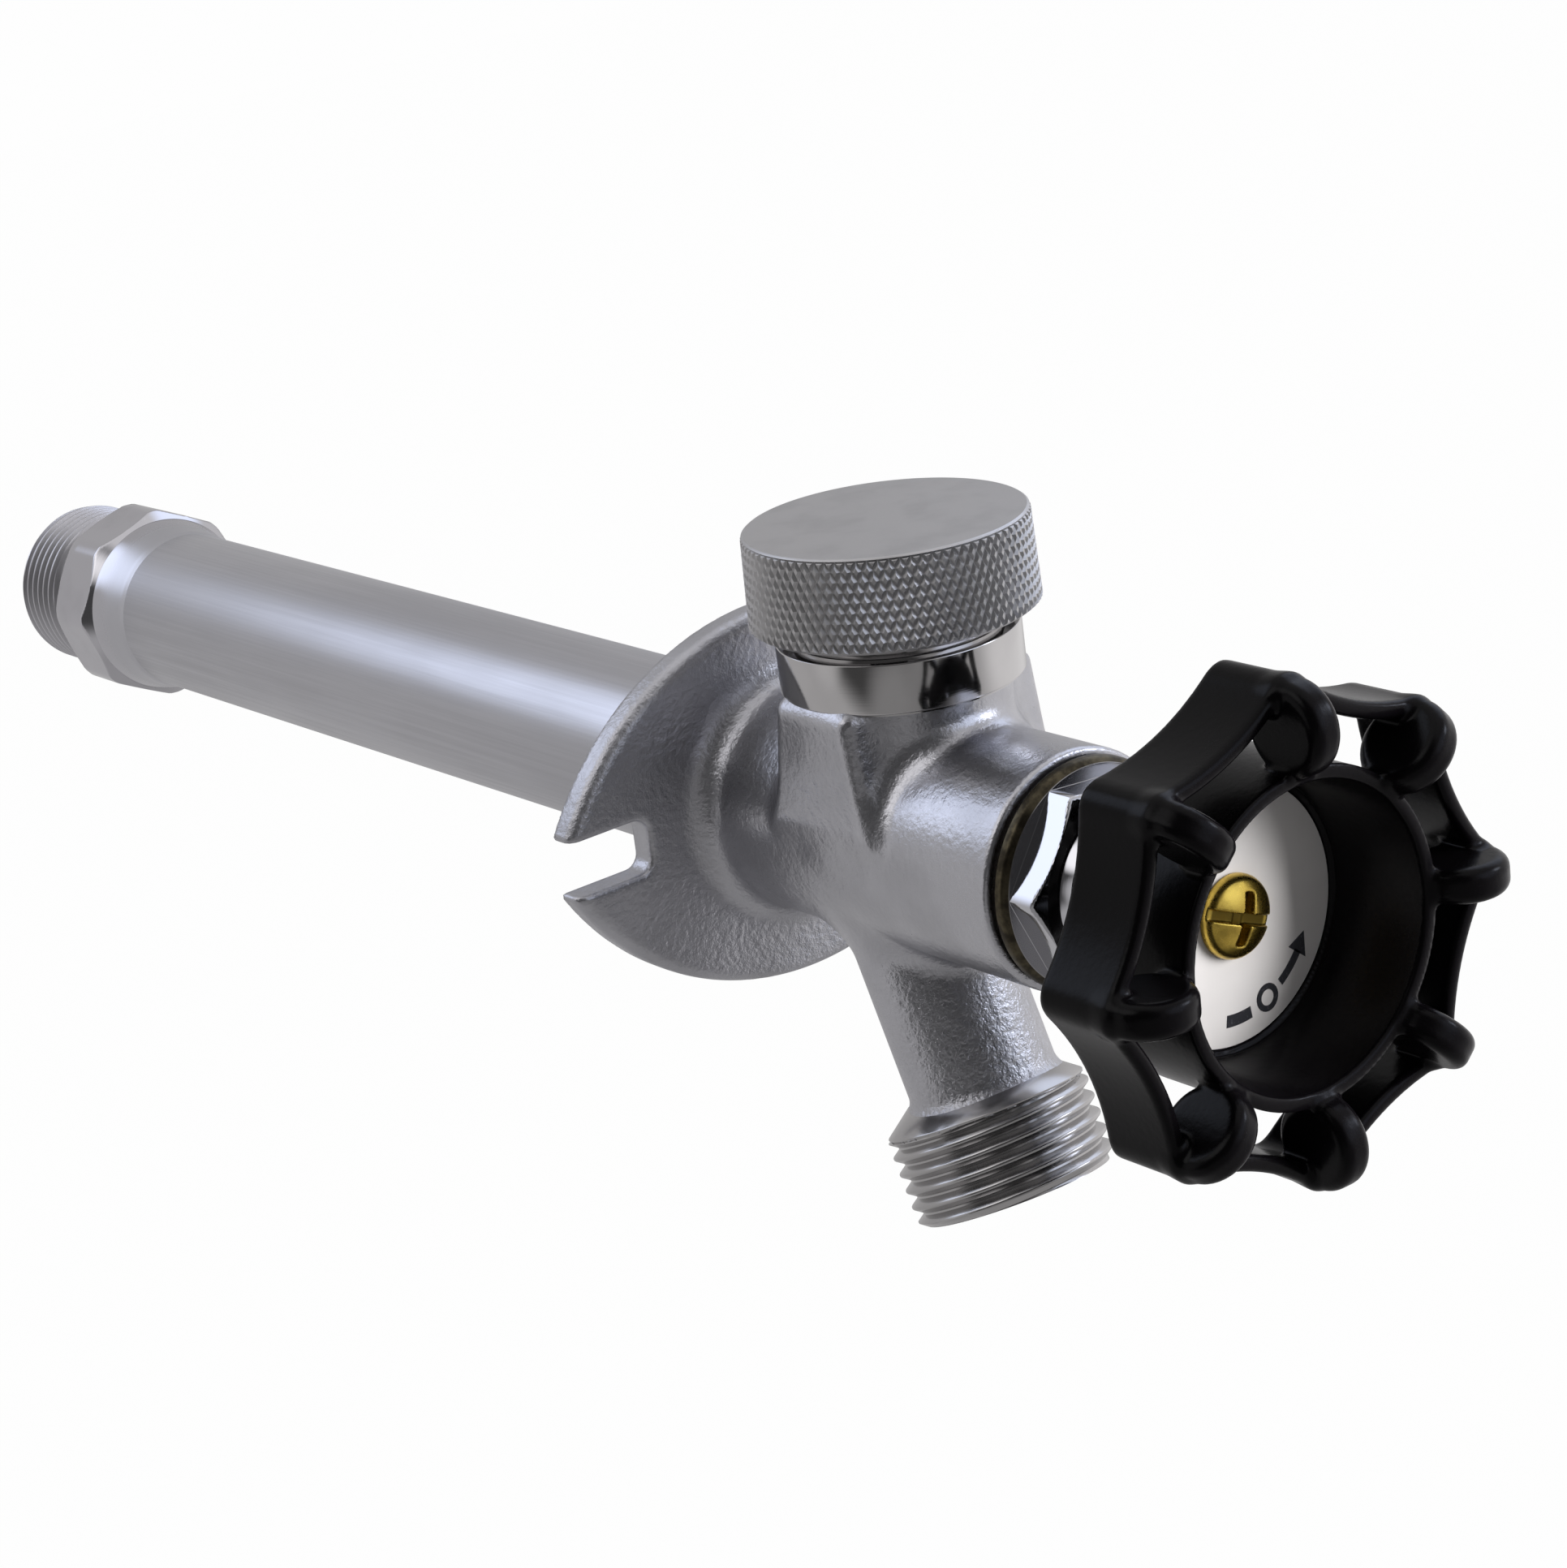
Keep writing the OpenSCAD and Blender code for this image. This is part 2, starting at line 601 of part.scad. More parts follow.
module plunger() {
  body_r = 6.4;
  color("peru") difference() {
    union() {
      ycyl(plunger_r, plunger_back_y - washer_in_cup - 2.4, plunger_back_y);
      ycyl(body_r, plunger_front_y, plunger_back_y - 1);
      for (i = [0 : 3]) {
        intersection() {
          rotate([0, 45 + 90 * i, 0])
            translate([0, plunger_front_y + 1, -fin_t / 2])
              cube([fin_r + 1, plunger_len - 3, fin_t]);
          ycyl(fin_r, plunger_front_y, plunger_back_y - 1);
        }
      }
    }
    ycyl(cup_wall_r, plunger_back_y - washer_in_cup, plunger_back_y + 1);
    ycyl(swivel_r + run_gap, plunger_front_y - 1, swivel_end_y + 0.15);
    ycyl(washer_screw_r + fit_gap, swivel_end_y + 1.2, plunger_back_y + 1);
    translate([pin_offset, pin_y, 0]) cylinder(r = pin_r + 0.02, h = 30, center = true);
  }
}

module swivel_pin() {
  color("slategray") translate([pin_offset, pin_y, 0]) cylinder(r = pin_r, h = 10.4, center = true);
}

module seat_washer() {
  color("black") difference() {
    ycyl(washer_r, washer_front_y + face_gap, washer_back_y);
    ycyl(washer_screw_r + fit_gap, washer_front_y - 1, washer_back_y + 1);
  }
}

module washer_screw() {
  head_y = washer_back_y + face_gap;
  color("gold") difference() {
    union() {
      ycone(washer_screw_head_r, washer_screw_head_r - 0.5, head_y, head_y + 1.9);
      ycyl(washer_screw_r, swivel_end_y + 1.4, head_y + 0.5);
    }
    translate([-5, head_y + 1, -0.45]) cube([10, 2, 0.9]);
  }
}

// the wheel's rim outline as a plate from y0 to y1, drawn in by d all round
module lobed_plate(d, y0, y1) {
  arc_c = hollow_r + hollow_arc;
  tip_r = max(lobe_tip_r - d, 0.8);
  difference() {
    ycyl(lobe_r - d - 0.28 * tip_r, y0, y1);
    for (i = [0 : 7]) {
      rotate([0, 22.5 + 45 * i, 0]) translate([0, 0, arc_c]) ycyl(hollow_arc + d, y0 - 1, y1 + 1);
    }
  }
  for (i = [0 : 7]) {
    rotate([0, 45 * i, 0]) translate([0, 0, lobe_r - d - tip_r]) ycyl(tip_r, y0, y1);
  }
}

module wheel_spoke() {
  depth = spoke_r * 2 - 1.2;
  intersection() {
    union() {
      translate([-spoke_t / 2, spoke_centre_y, spoke_c]) rotate([0, 90, 0]) cylinder(r = spoke_r, h = spoke_t);
      translate([-spoke_t / 2, rim_front_y + 1, cup_r - 1.2]) cube([spoke_t, 3.4, lobe_r - cup_r - 0.6]);
    }
    translate([-spoke_t, spoke_front_y - 1, cup_r - 1.4]) cube([2 * spoke_t, depth + 3, lobe_r - cup_r]);
  }
}

module handle_wheel() {
  color("dimgray") difference() {
    union() {
      difference() {
        lobed_plate(0, rim_front_y, rim_back_y);
        lobed_plate(rim_t, rim_front_y - 1, rim_back_y + 1);
      }
      for (i = [0 : 7]) {
        rotate([0, 45 * i, 0]) wheel_spoke();
      }
      difference() {
        yturn([[0, cup_front_y], [cup_r - 0.5, cup_front_y], [cup_r, cup_front_y + 0.5],
          [cup_r, cup_back_y - 1], [cup_r - 1.5, cup_back_y + 0.6], [hub_r + 1.5, cup_back_y + 2.4],
          [hub_r, cup_back_y + 4], [hub_r, hub_back_y], [0, hub_back_y]]);
        ycone(cup_mouth_r, cup_floor_r, cup_front_y - eps, floor_front_y);
      }
    }
    translate([-square_w / 2 - square_gap, floor_front_y - 1, -square_w / 2 - square_gap])
      cube([square_w + 2 * square_gap, square_back_y - floor_front_y + 1, square_w + 2 * square_gap]);
    ycyl(stem_r + fit_gap, square_back_y - fit_gap, hub_back_y + 1);
  }
}

module label_disc() {
  color("white") difference() {
    ycyl(label_r, label_front_y, label_back_y);
    ycyl(handle_screw_r + 0.3, label_front_y - 1, label_back_y + 1);
  }
}

module handle_screw() {
  under_y = label_front_y - face_gap;
  top_y = under_y - handle_screw_head_h;
  color("gold") difference() {
    union() {
      yturn([[0, top_y], [handle_screw_head_r - 1.8, top_y + 0.1], [handle_screw_head_r - 0.6, top_y + 0.8],
        [handle_screw_head_r, top_y + 1.7], [handle_screw_head_r, under_y], [0, under_y]]);
      ycyl(handle_screw_r, under_y - 1, under_y + handle_screw_len);
    }
    translate([-handle_screw_head_r - 1, top_y - 1, -0.6]) cube([2 * handle_screw_head_r + 2, 2.3, 1.2]);
    translate([-0.6, top_y - 1, -2.9]) cube([1.2, 2.8, 5.8]);
  }
}

module vb_cap() {
  groove = 0.4;
  color("lightgray") translate([0, -vb_y, 0]) difference() {
    rotate_extrude() polygon([[0, cap_z], [cap_r_bottom - 0.9, cap_z], [cap_r_bottom, cap_z + 1.3],
      [cap_r_top, cap_top_z - groove], [cap_r_top - groove, cap_top_z], [0, cap_top_z]]);
    translate([0, 0, cap_z - 1]) cylinder(r = cap_in_r, h = cap_roof_z - cap_z + 1);
    translate([0, 0, cap_z - 1]) cylinder(r = cap_in_r + 1.6, h = 2.2);
  }
}

module vb_bonnet() {
  color("khaki") translate([0, -vb_y, 0]) difference() {
    union() {
      translate([0, 0, bonnet_z]) cylinder(r = bonnet_r, h = bonnet_t);
      difference() {
        translate([0, 0, bonnet_z + 1]) cylinder(r = bonnet_r, h = bonnet_flange_z - bonnet_z - 1 + 0.5);
        translate([0, 0, bonnet_z]) cylinder(r = bonnet_r - 1.8, h = 30);
      }
      difference() {
        translate([0, 0, bonnet_flange_z]) cylinder(r = spigot_r - 1.6, h = bonnet_flange_t);
        translate([0, 0, bonnet_z]) cylinder(r = bonnet_r - 1.8, h = 30);
      }
    }
    translate([0, 0, bonnet_z - 1]) cylinder(r = bonnet_guide_r, h = bonnet_t + 2);
    for (i = [0 : 5]) {
      rotate([0, 0, 60 * i]) translate([5, 0, bonnet_z - 1]) cylinder(r = 1.5, h = bonnet_t + 2);
    }
    difference() {
      translate([0, 0, bonnet_z + 1.2]) cylinder(r = bonnet_r + 1, h = oring_w);
      translate([0, 0, bonnet_z + 1]) cylinder(r = bonnet_r - oring_w, h = oring_w + 1);
    }
  }
}

module vb_ring_seal() {
  z0 = bonnet_z + 1.2 + face_gap;
  color("black") translate([0, -vb_y, 0]) difference() {
    translate([0, 0, z0]) cylinder(r = vb_bore_r - face_gap, h = oring_w - 2 * face_gap);
    translate([0, 0, z0 - 1]) cylinder(r = bonnet_r - oring_w + face_gap, h = 3);
  }
}

module vb_float() {
  color("ivory") translate([0, -vb_y, 0]) union() {
    translate([0, 0, float_z]) cylinder(r = float_r, h = float_disc_t);
    translate([0, 0, float_z]) cylinder(r = float_stem_r, h = float_stem_top_z - float_z);
    translate([0, 0, float_z - 3]) cylinder(r = vb_port_r - 1.6, h = 3.5);
  }
}

module vb_float_seal() {
  color("black") translate([0, -vb_y, 0]) difference() {
    translate([0, 0, float_top_z + face_gap]) cylinder(r = float_r - 0.3, h = float_seal_t);
    translate([0, 0, float_top_z]) cylinder(r = float_stem_r + fit_gap, h = 3);
  }
}

body_casting();
casing_tube();
inlet_fitting();
nut_washer();
packing_nut();
packing_gland();
packing_ring_front();
packing_ring_back();
packing_washer();
stem();
operating_rod();
plunger();
swivel_pin();
seat_washer();
washer_screw();
handle_wheel();
label_disc();
handle_screw();
vb_cap();
vb_bonnet();
vb_ring_seal();
vb_float();
vb_float_seal();
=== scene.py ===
import itertools
import math

import bmesh
import bpy
import numpy as np
from mathutils import Matrix


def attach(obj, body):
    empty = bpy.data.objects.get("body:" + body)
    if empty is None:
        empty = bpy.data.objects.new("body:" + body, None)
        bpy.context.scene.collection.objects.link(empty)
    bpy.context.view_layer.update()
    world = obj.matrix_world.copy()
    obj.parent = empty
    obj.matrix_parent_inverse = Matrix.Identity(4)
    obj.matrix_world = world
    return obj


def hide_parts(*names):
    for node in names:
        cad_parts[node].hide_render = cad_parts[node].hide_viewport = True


bl_info = {
    "name": "Frost free sillcock",
    "version": (1, 0, 0),
    "blender": (4, 5, 0),
    "location": "View3D > Sidebar > Sillcock",
    "description": "Dresses a frost free outdoor tap: casting, tube, inlet, nut, wheel and vacuum breaker",
    "category": "Add Mesh",
}

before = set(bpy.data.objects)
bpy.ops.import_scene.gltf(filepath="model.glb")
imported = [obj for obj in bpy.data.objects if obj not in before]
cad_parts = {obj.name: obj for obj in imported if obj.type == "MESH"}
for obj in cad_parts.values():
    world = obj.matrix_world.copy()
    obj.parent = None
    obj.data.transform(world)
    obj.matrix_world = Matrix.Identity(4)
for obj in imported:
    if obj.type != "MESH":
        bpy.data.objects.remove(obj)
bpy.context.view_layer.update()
MM = 0.001
TURN = 2 * math.pi

# Places in millimetres. The wall is at y = 0, the tube runs along +y and the wheel is at -y
BREAKER_Y = -29.0
NOZZLE_Y = -19.6
TILT = math.radians(22.8)
TUBE_START, TUBE_END = -12.0, 165.0
INLET_START, INLET_NECK_END, INLET_END = 155.0, 177.5, 189.5
LABEL_FRONT = -84.2

# Radii that two or more pieces share
TUBE_R, TUBE_BORE = 12.5, 11.1
HOSE_ROOT, HOSE_CREST, HOSE_BORE = 12.38, 13.49, 6.8
SPIGOT_BORE = 10.6

# How turned pieces stand, about which axis, and from where
UPRIGHT = np.eye(3)
ALONG_TUBE = np.array([[1, 0, 0], [0, 0, 1], [0, -1, 0]], float)
ALONG_NOZZLE = np.array([[1, 0, 0],
                         [0, math.cos(TILT), math.sin(TILT)],
                         [0, -math.sin(TILT), math.cos(TILT)]])
ORIGIN = np.zeros(3)
NOZZLE_ROOT = np.array([0, NOZZLE_Y, 0])
BREAKER_FOOT = np.array([0, BREAKER_Y, 0])


# Node trees

class Amount:
    """A number socket of a node tree that adds, multiplies and divides like a number."""

    def __init__(self, bench, socket):
        self.bench = bench
        self.socket = socket

    def do(self, operation, *others):
        """The amount after an operation of the Math node."""
        return self.bench.amount("ShaderNodeMath", 0, dict(enumerate((self, *others))), operation=operation)

    def __add__(self, other):
        return self.do("ADD", other)

    def __mul__(self, other):
        return self.do("MULTIPLY", other)

    __radd__ = __add__
    __rmul__ = __mul__

    def __sub__(self, other):
        return self.do("SUBTRACT", other)

    def __rsub__(self, other):
        return self * -1.0 + other

    def __truediv__(self, other):
        return self.do("DIVIDE", other)

    def __mod__(self, other):
        return self.do("FLOORED_MODULO", other)

    def between(self, low, high, out_low=0.0, out_high=1.0):
        """Runs smoothly from out_low to out_high as the amount goes from low to high."""
        return self.bench.amount("ShaderNodeMapRange", "Result",
                                 {"Value": self, "From Min": low, "From Max": high,
                                  "To Min": out_low, "To Max": out_high}, interpolation_type="SMOOTHSTEP")


class Bench:
    """Puts nodes into one tree."""

    def __init__(self, tree):
        self.tree = tree

    def add(self, kind, inputs=None, **settings):
        """A node of that type: its settings first, then its sockets' values or links."""
        node = self.tree.nodes.new(kind)
        for name, value in settings.items():
            setattr(node, name, value)
        for name, value in (inputs or {}).items():
            value = getattr(value, "socket", value)
            if isinstance(value, bpy.types.NodeSocket):
                self.tree.links.new(value, node.inputs[name])
            else:
                node.inputs[name].default_value = value
        return node

    def amount(self, kind, output, inputs=None, **settings):
        return Amount(self, self.add(kind, inputs, **settings).outputs[output])

    def blend(self, share, first, second):
        """A colour that goes from first to second."""
        inputs = {"Factor": share}
        for place, colour in ((6, first), (7, second)):
            inputs[place] = colour if isinstance(colour, bpy.types.NodeSocket) else (*colour, 1.0)
        return self.add("ShaderNodeMix", inputs, data_type="RGBA").outputs[2]

    def seen(self):
        """1 for a ray from the camera, off a polished surface or through glass, and 0 for any other."""
        path = self.add("ShaderNodeLightPath").outputs
        direct = Amount(self, path["Is Camera Ray"]).do("MAXIMUM", path["Is Glossy Ray"])
        return direct.do("MAXIMUM", path["Is Transmission Ray"])


class Finish(Bench):
    """The node tree of one finish, with a place on the piece to start from."""

    def __init__(self, name, colour, metallic=0.0, **constants):
        self.material = bpy.data.materials.new(name)
        self.material.use_nodes = True
        super().__init__(self.material.node_tree)
        self.tree.nodes.clear()
        self.shader = self.add("ShaderNodeBsdfPrincipled")
        self.shader.inputs["Base Color"].default_value = (*colour, 1.0)
        self.shader.inputs["Metallic"].default_value = metallic
        for socket, value in constants.items():
            self.shader.inputs[socket.replace("_", " ")].default_value = value
        self.output = self.add("ShaderNodeOutputMaterial", {"Surface": self.shader.outputs[0]})
        self.place = self.add("ShaderNodeTexCoord").outputs["Object"]

    def noise(self, size_mm, detail=3.0, rough=0.5, stretch=(1.0, 1.0, 1.0)):
        """Noise from 0 to 1 with spots of that size, which a stretch below 1 draws out along its axis."""
        place = self.place
        if min(stretch) < 1.0:
            place = self.add("ShaderNodeVectorMath", {0: place, 1: stretch}, operation="MULTIPLY").outputs[0]
        return self.amount("ShaderNodeTexNoise", 0, {"Vector": place, "Scale": 1.0 / (size_mm * MM),
                                                     "Detail": detail, "Roughness": rough})

    def part(self, axis):
        """The place's X, Y or Z in millimetres."""
        return self.amount("ShaderNodeSeparateXYZ", axis, {0: self.place}) * (1.0 / MM)

    def feed(self, name, value):
        self.tree.links.new(getattr(value, "socket", value), self.shader.inputs[name])

    def mottled(self, colour, spots, low, high, share):
        """A colour, going down to a share of it as the spots go from low to high."""
        return self.blend(spots.between(low, high), colour, shade(colour, share))

    def done(self, colour, roughness, *swings):
        """Feeds the colour and the roughness, which each (width, noise) swings to both sides."""
        self.feed("Base Color", colour)
        for width, noise in swings:
            roughness = width * (noise - 0.5) + roughness
        self.feed("Roughness", roughness)
        return self.material

    def raised(self, height, depth_mm):
        """Feeds the normal from a height between 0 and 1, depth_mm deep."""
        previous = self.shader.inputs["Normal"].links
        inputs = {"Height": height, "Distance": depth_mm * MM}
        if previous:
            inputs["Normal"] = previous[0].from_socket
        self.feed("Normal", self.add("ShaderNodeBump", inputs).outputs[0])


# Finishes. Noise sizes and depths are in millimetres

ROUND_THE_TUBE = (0.02, 1.0, 0.02)
ROUND_THE_UPRIGHT = (0.02, 0.02, 1.0)


def shade(colour, share):
    """A colour with its brightness scaled, by one share or by one for each channel."""
    return tuple(float(c) for c in np.multiply(colour, share))


def cast_chrome(look):
    """Plated casting: fine pits all over, and a coarser grain on the nozzle and the flange."""
    f = Finish("cast_chrome", look.cast_colour, 1.0)
    pits, waves = f.noise(0.42, 3.0, 0.6), f.noise(5.0, 2.0)
    grit, stain = f.noise(0.95, 3.0, 0.6), f.noise(13.0, 4.0, 0.55)
    on_flange = f.part("Y").between(-9.0, -4.5)
    on_nozzle = f.part("Z").between(-26.0, -8.0, 1.0, 0.35)
    f.raised(waves, 0.11)
    f.raised(grit * (0.35 * on_flange + 1.8 * on_nozzle), 0.15)
    f.raised(pits, 0.022)
    return f.done(f.mottled(look.cast_colour, stain, 0.35, 0.7, 0.86),
                  look.cast_roughness + 0.07 * on_flange + 0.08 * on_nozzle, (0.1, stain), (0.12, pits))


def turned_chrome(name, colour, roughness, lines_mm):
    """Chrome plate over a surface turned about an upright axis."""
    f = Finish(name, colour, 1.0)
    stain, lines = f.noise(9.0), f.noise(lines_mm, 2.0, 0.5, ROUND_THE_UPRIGHT)
    f.raised(lines, 0.003)
    return f.done(f.mottled(colour, stain, 0.4, 0.75, 0.92), roughness, (0.05, stain), (0.05, lines))


def inlet_chrome(look):
    """Polished flats and cone, satin where the cone meets the tube and on the cut thread."""
    f = Finish("inlet_chrome", look.inlet_colour, 1.0)
    stain, lines = f.noise(9.0), f.noise(0.25, 2.0, 0.5, ROUND_THE_TUBE)
    lip = f.part("Y").between(158.5, 163.0, 0.2, 0.0)
    thread = f.part("Y").between(176.5, 177.5, 0.0, 0.24)
    plate = f.mottled(look.inlet_colour, stain, 0.4, 0.75, 0.9)
    f.raised(lines, 0.003)
    return f.done(f.blend(5.0 * lip, plate, look.tube_colour), 0.12 + lip + thread,
                  (0.06, stain), (0.05, lines))


def nut_chrome(look):
    """Polished plate on the hexagon; the shoulder by the barrel is painted near black with a brownish mottle,
    a painted dark reflection.
    """
    f = Finish("nut_chrome", look.nut_colour, 1.0)
    stain, lines = f.noise(1.8, 3.0, 0.6), f.noise(0.25, 2.0, 0.5, ROUND_THE_TUBE)
    shoulder = f.part("Y").between(-61.25, -61.1)
    # painted reflection: the shoulder's near-black, brown-mottled colour stands in for the dark band it
    # reflects
    dark_reflection = f.blend(stain.between(0.35, 0.7), (0.035, 0.03, 0.022), (0.1, 0.085, 0.055))
    f.raised(lines, 0.003)
    return f.done(f.blend(shoulder, look.nut_colour, dark_reflection), 0.07 + 0.25 * shoulder, (0.04, lines))


def tube_steel(look):
    """Satin tube with drawn streaks along it and broad clouds."""
    f = Finish("tube_steel", look.tube_colour, 1.0)
    streaks, broad = f.noise(0.5, 3.0, 0.6, (1.0, 0.012, 1.0)), f.noise(16.0, 3.0, 0.55, (1.0, 0.3, 1.0))
    f.raised(streaks, 0.006)
    f.raised(broad, 0.03)
    return f.done(f.mottled(look.tube_colour, 0.45 * streaks + 0.55 * broad, 0.35, 0.65, 0.88),
                  look.tube_roughness, (0.12, streaks), (0.16, broad))


def cap_metal(look):
    """Dull plate with a fine grain and smudges."""
    f = Finish("cap_grey", look.cap_colour, 1.0)
    grain, smudge = f.noise(0.22, 2.0, 0.6), f.noise(6.5)
    f.raised(grain, 0.012)
    return f.done(f.mottled(look.cap_colour, smudge, 0.42, 0.72, 0.9), look.cap_roughness,
                  (0.1, grain), (0.08, smudge))


def wheel_paint(look):
    """Black paint with a slight peel and a little dust."""
    f = Finish("wheel_black", look.wheel_colour, 0.0, IOR=1.2)
    peel, dust, worn = f.noise(0.9, 2.0), f.noise(0.25, 3.0, 0.7), f.noise(11.0)
    dusty = tuple(3.0 * c + 0.004 for c in look.wheel_colour)
    f.raised(peel, 0.02)
    f.raised(dust, 0.003)
    return f.done(f.blend(dust.between(0.62, 0.85), look.wheel_colour, dusty), look.wheel_roughness,
                  (0.12, worn), (0.08, dust))


def label_plastic(look):
    f = Finish("label_white", look.label_colour)
    cloud, fine = f.noise(7.0, 2.0), f.noise(0.3, 2.0)
    f.raised(fine, 0.004)
    return f.done(f.mottled(look.label_colour, cloud, 0.35, 0.75, 0.95), 0.42, (0.08, fine))


def label_ink():
    f = Finish("label_ink", (0.03, 0.03, 0.035))
    worn = f.noise(0.35)
    return f.done(f.blend(worn.between(0.55, 0.8), (0.025, 0.025, 0.03), (0.09, 0.09, 0.1)), 0.5, (0.1, worn))


def brass(name, colour, dull, roughness, shade_recess=False):
    """Brass with a cloudy tarnish and, on the screw's head, painted shade darkening its slot and cross."""
    f = Finish(name, colour, 1.0)
    tarnish, grain = f.noise(2.4, 4.0, 0.6), f.noise(0.16, 2.0, 0.5, (1.0, 0.3, 1.0))
    bright = f.mottled(colour, tarnish, 0.42, 0.78, dull)
    if shade_recess:
        # painted shade: the slot and cross of the screw's head are darkened to a share of the brass, and made
        # rougher
        across, up = f.part("X"), f.part("Z")
        inner = (across * across + up * up).between(17.0, 20.0, 1.0, 0.0)
        recess_shade = inner * f.part("Y").between(-85.7, -85.25)
        bright = f.blend(recess_shade, bright, shade(colour, 0.28))
        roughness = roughness + 0.2 * recess_shade
    f.raised(grain, 0.005)
    return f.done(bright, roughness, (0.14, tarnish), (0.05, grain))


def plain_stuff(name, colour, roughness, grain_mm, depth_mm):
    """Rubber, fibre, packing and moulded plastic: a grain and an uneven colour."""
    f = Finish(name, colour)
    grain, cloud = f.noise(grain_mm, 3.0, 0.6), f.noise(grain_mm * 9, 2.0)
    f.raised(grain, depth_mm)
    return f.done(f.mottled(colour, cloud, 0.35, 0.7, 0.82), roughness, (0.12, grain))


# Shapes as distances in millimetres, below 0 inside

def joined(a, b, fillet):
    """Two shapes as one, with a round fillet between them."""
    gap = np.hypot(np.maximum(fillet - a, 0), np.maximum(fillet - b, 0))
    return np.maximum(np.minimum(a, b), fillet) - gap


def kept(a, b, edge):
    """What two shapes share, with its edge rounded."""
    return np.minimum(np.maximum(a, b), -edge) + np.hypot(np.maximum(a + edge, 0), np.maximum(b + edge, 0))


def cut(shape, hole, edge=0.0):
    """A shape without a hole, whose edge is rounded or sharp."""
    return kept(shape, -hole, edge) if edge else np.maximum(shape, -hole)


def span(value, low, high):
    return np.maximum(low - value, value - high)


def ellipse(u, v, half_u, half_v):
    k0 = np.hypot(u / half_u, v / half_v)
    k1 = np.hypot(u / half_u ** 2, v / half_v ** 2) + 1e-9
    return k0 * (k0 - 1.0) / k1


def round_slot(u, v, half_u, half_v, corner):
    du = np.abs(u) - half_u + corner
    dv = np.abs(v) - half_v + corner
    return np.hypot(np.maximum(du, 0), np.maximum(dv, 0)) + np.minimum(np.maximum(du, dv), 0) - corner


def flange_plate(s, x, y, z):
    """The lens between two arcs, with a slot open at each tip."""
    half_width, half_height, front = 36.6, 25.2, -4.0
    slot_inner, slot_half, slot_corner, slot_reach = 24.3, 3.6, 2.0, 40.0
    rise = half_height - slot_half
    arc = (half_width ** 2 + rise ** 2) / (2 * rise)
    drop = arc - half_height
    lens = np.maximum(np.hypot(x, z + drop) - arc, np.hypot(x, z - drop) - arc)
    plate = kept(lens, front - y, s.flange_edge)
    slots = round_slot(np.abs(x) - (slot_inner + slot_reach), z, slot_reach, slot_half, slot_corner)
    return cut(plate, slots, s.slot_edge)


def breaker_neck(breaker, z):
    """The upright neck below the collar, from the barrel's middle up."""
    neck_radius, neck_top = 13.7, 20.3
    neck = np.maximum(breaker - neck_radius, z - neck_top)
    return np.hypot(np.maximum(neck, 0), np.maximum(-z, 0)) + np.minimum(np.maximum(neck, -z), 0)


def nozzle_stalk(x, across, down):
    half_wide, half_deep, forward = 10.1, 8.9, 1.5
    stalk = ellipse(x, across + forward, half_wide, half_deep)
    return np.maximum(stalk, span(down, 4.0, 40.0))


def nozzle_shoulder(around, down):
    """The cone from the stalk out to the hose thread's crests."""
    narrow, cone_start, cone_end, slope = 9.0, 36.955, 40.5, 1.309
    cone = (around - narrow - (down - cone_start) * slope) / math.hypot(1.0, slope)
    cone = kept(kept(cone, around - HOSE_CREST + 0.3, 0.3), down - cone_end, 0.1)
    return np.maximum(cone, 35.5 - down)


def side_pads(x, y, z):
    """The plain pad on each side of the neck, narrower towards the top."""
    foot, top, half_wide, front_foot, rear_foot = 3.0, 19.9, 15.7, -38.5, -19.0
    height, front_lean, rear_lean = top - foot, 2.5, 3.0
    front = ((y - front_foot) * -height + (z - foot) * front_lean) / math.hypot(height, front_lean)
    rear = ((y - rear_foot) * height + (z - foot) * rear_lean) / math.hypot(height, rear_lean)
    pad = kept(kept(front, rear, 1.5), kept(foot - z, z - top, 1.0), 1.2)
    return kept(pad, np.abs(x) - half_wide, 2.0)


def casting_shape(s, x, y, z):
    """Flange, barrel, neck, nozzle and side pads as one soft-edged casting, with its bores."""
    radius = np.hypot(x, z)
    breaker = np.hypot(x, y - BREAKER_Y)
    across = (y - NOZZLE_Y) * math.cos(TILT) - z * math.sin(TILT)
    down = -(y - NOZZLE_Y) * math.sin(TILT) - z * math.cos(TILT)
    around = np.hypot(x, across)
    barrel_radius, barrel_front = 15.2, -58.6
    barrel = kept(radius - barrel_radius, barrel_front - y, 0.7)
    shape = joined(flange_plate(s, x, y, z), barrel, s.hub_fillet)
    shape = joined(shape, breaker_neck(breaker, z), s.neck_fillet)
    shape = joined(shape, nozzle_stalk(x, across, down), s.stalk_fillet)
    shape = joined(shape, nozzle_shoulder(around, down), 1.0)
    shape = joined(shape, side_pads(x, y, z), 3.0)
    shape = kept(shape, y, 0.4)
    nut_socket, packing_box, thread_hole = (10.95, -60.0, -53.4), (7.7, -53.6, -48.14), (5.96, -49.0, -34.0)
    chamber, tube_socket = (11.4, -35.0, -12.0), (TUBE_R + 0.05, TUBE_START - 0.02, 1.0)
    for bore, low, high in (nut_socket, packing_box, thread_hole, chamber, tube_socket):
        shape = cut(shape, np.maximum(radius - bore, span(y, low, high)))
    shape = cut(shape, np.maximum(around - HOSE_BORE, -down))
    shape = cut(shape, np.maximum(breaker - 5.6, span(z, 0.0, 19.0)))
    return cut(shape, np.maximum(breaker - SPIGOT_BORE, 17.0 - z))


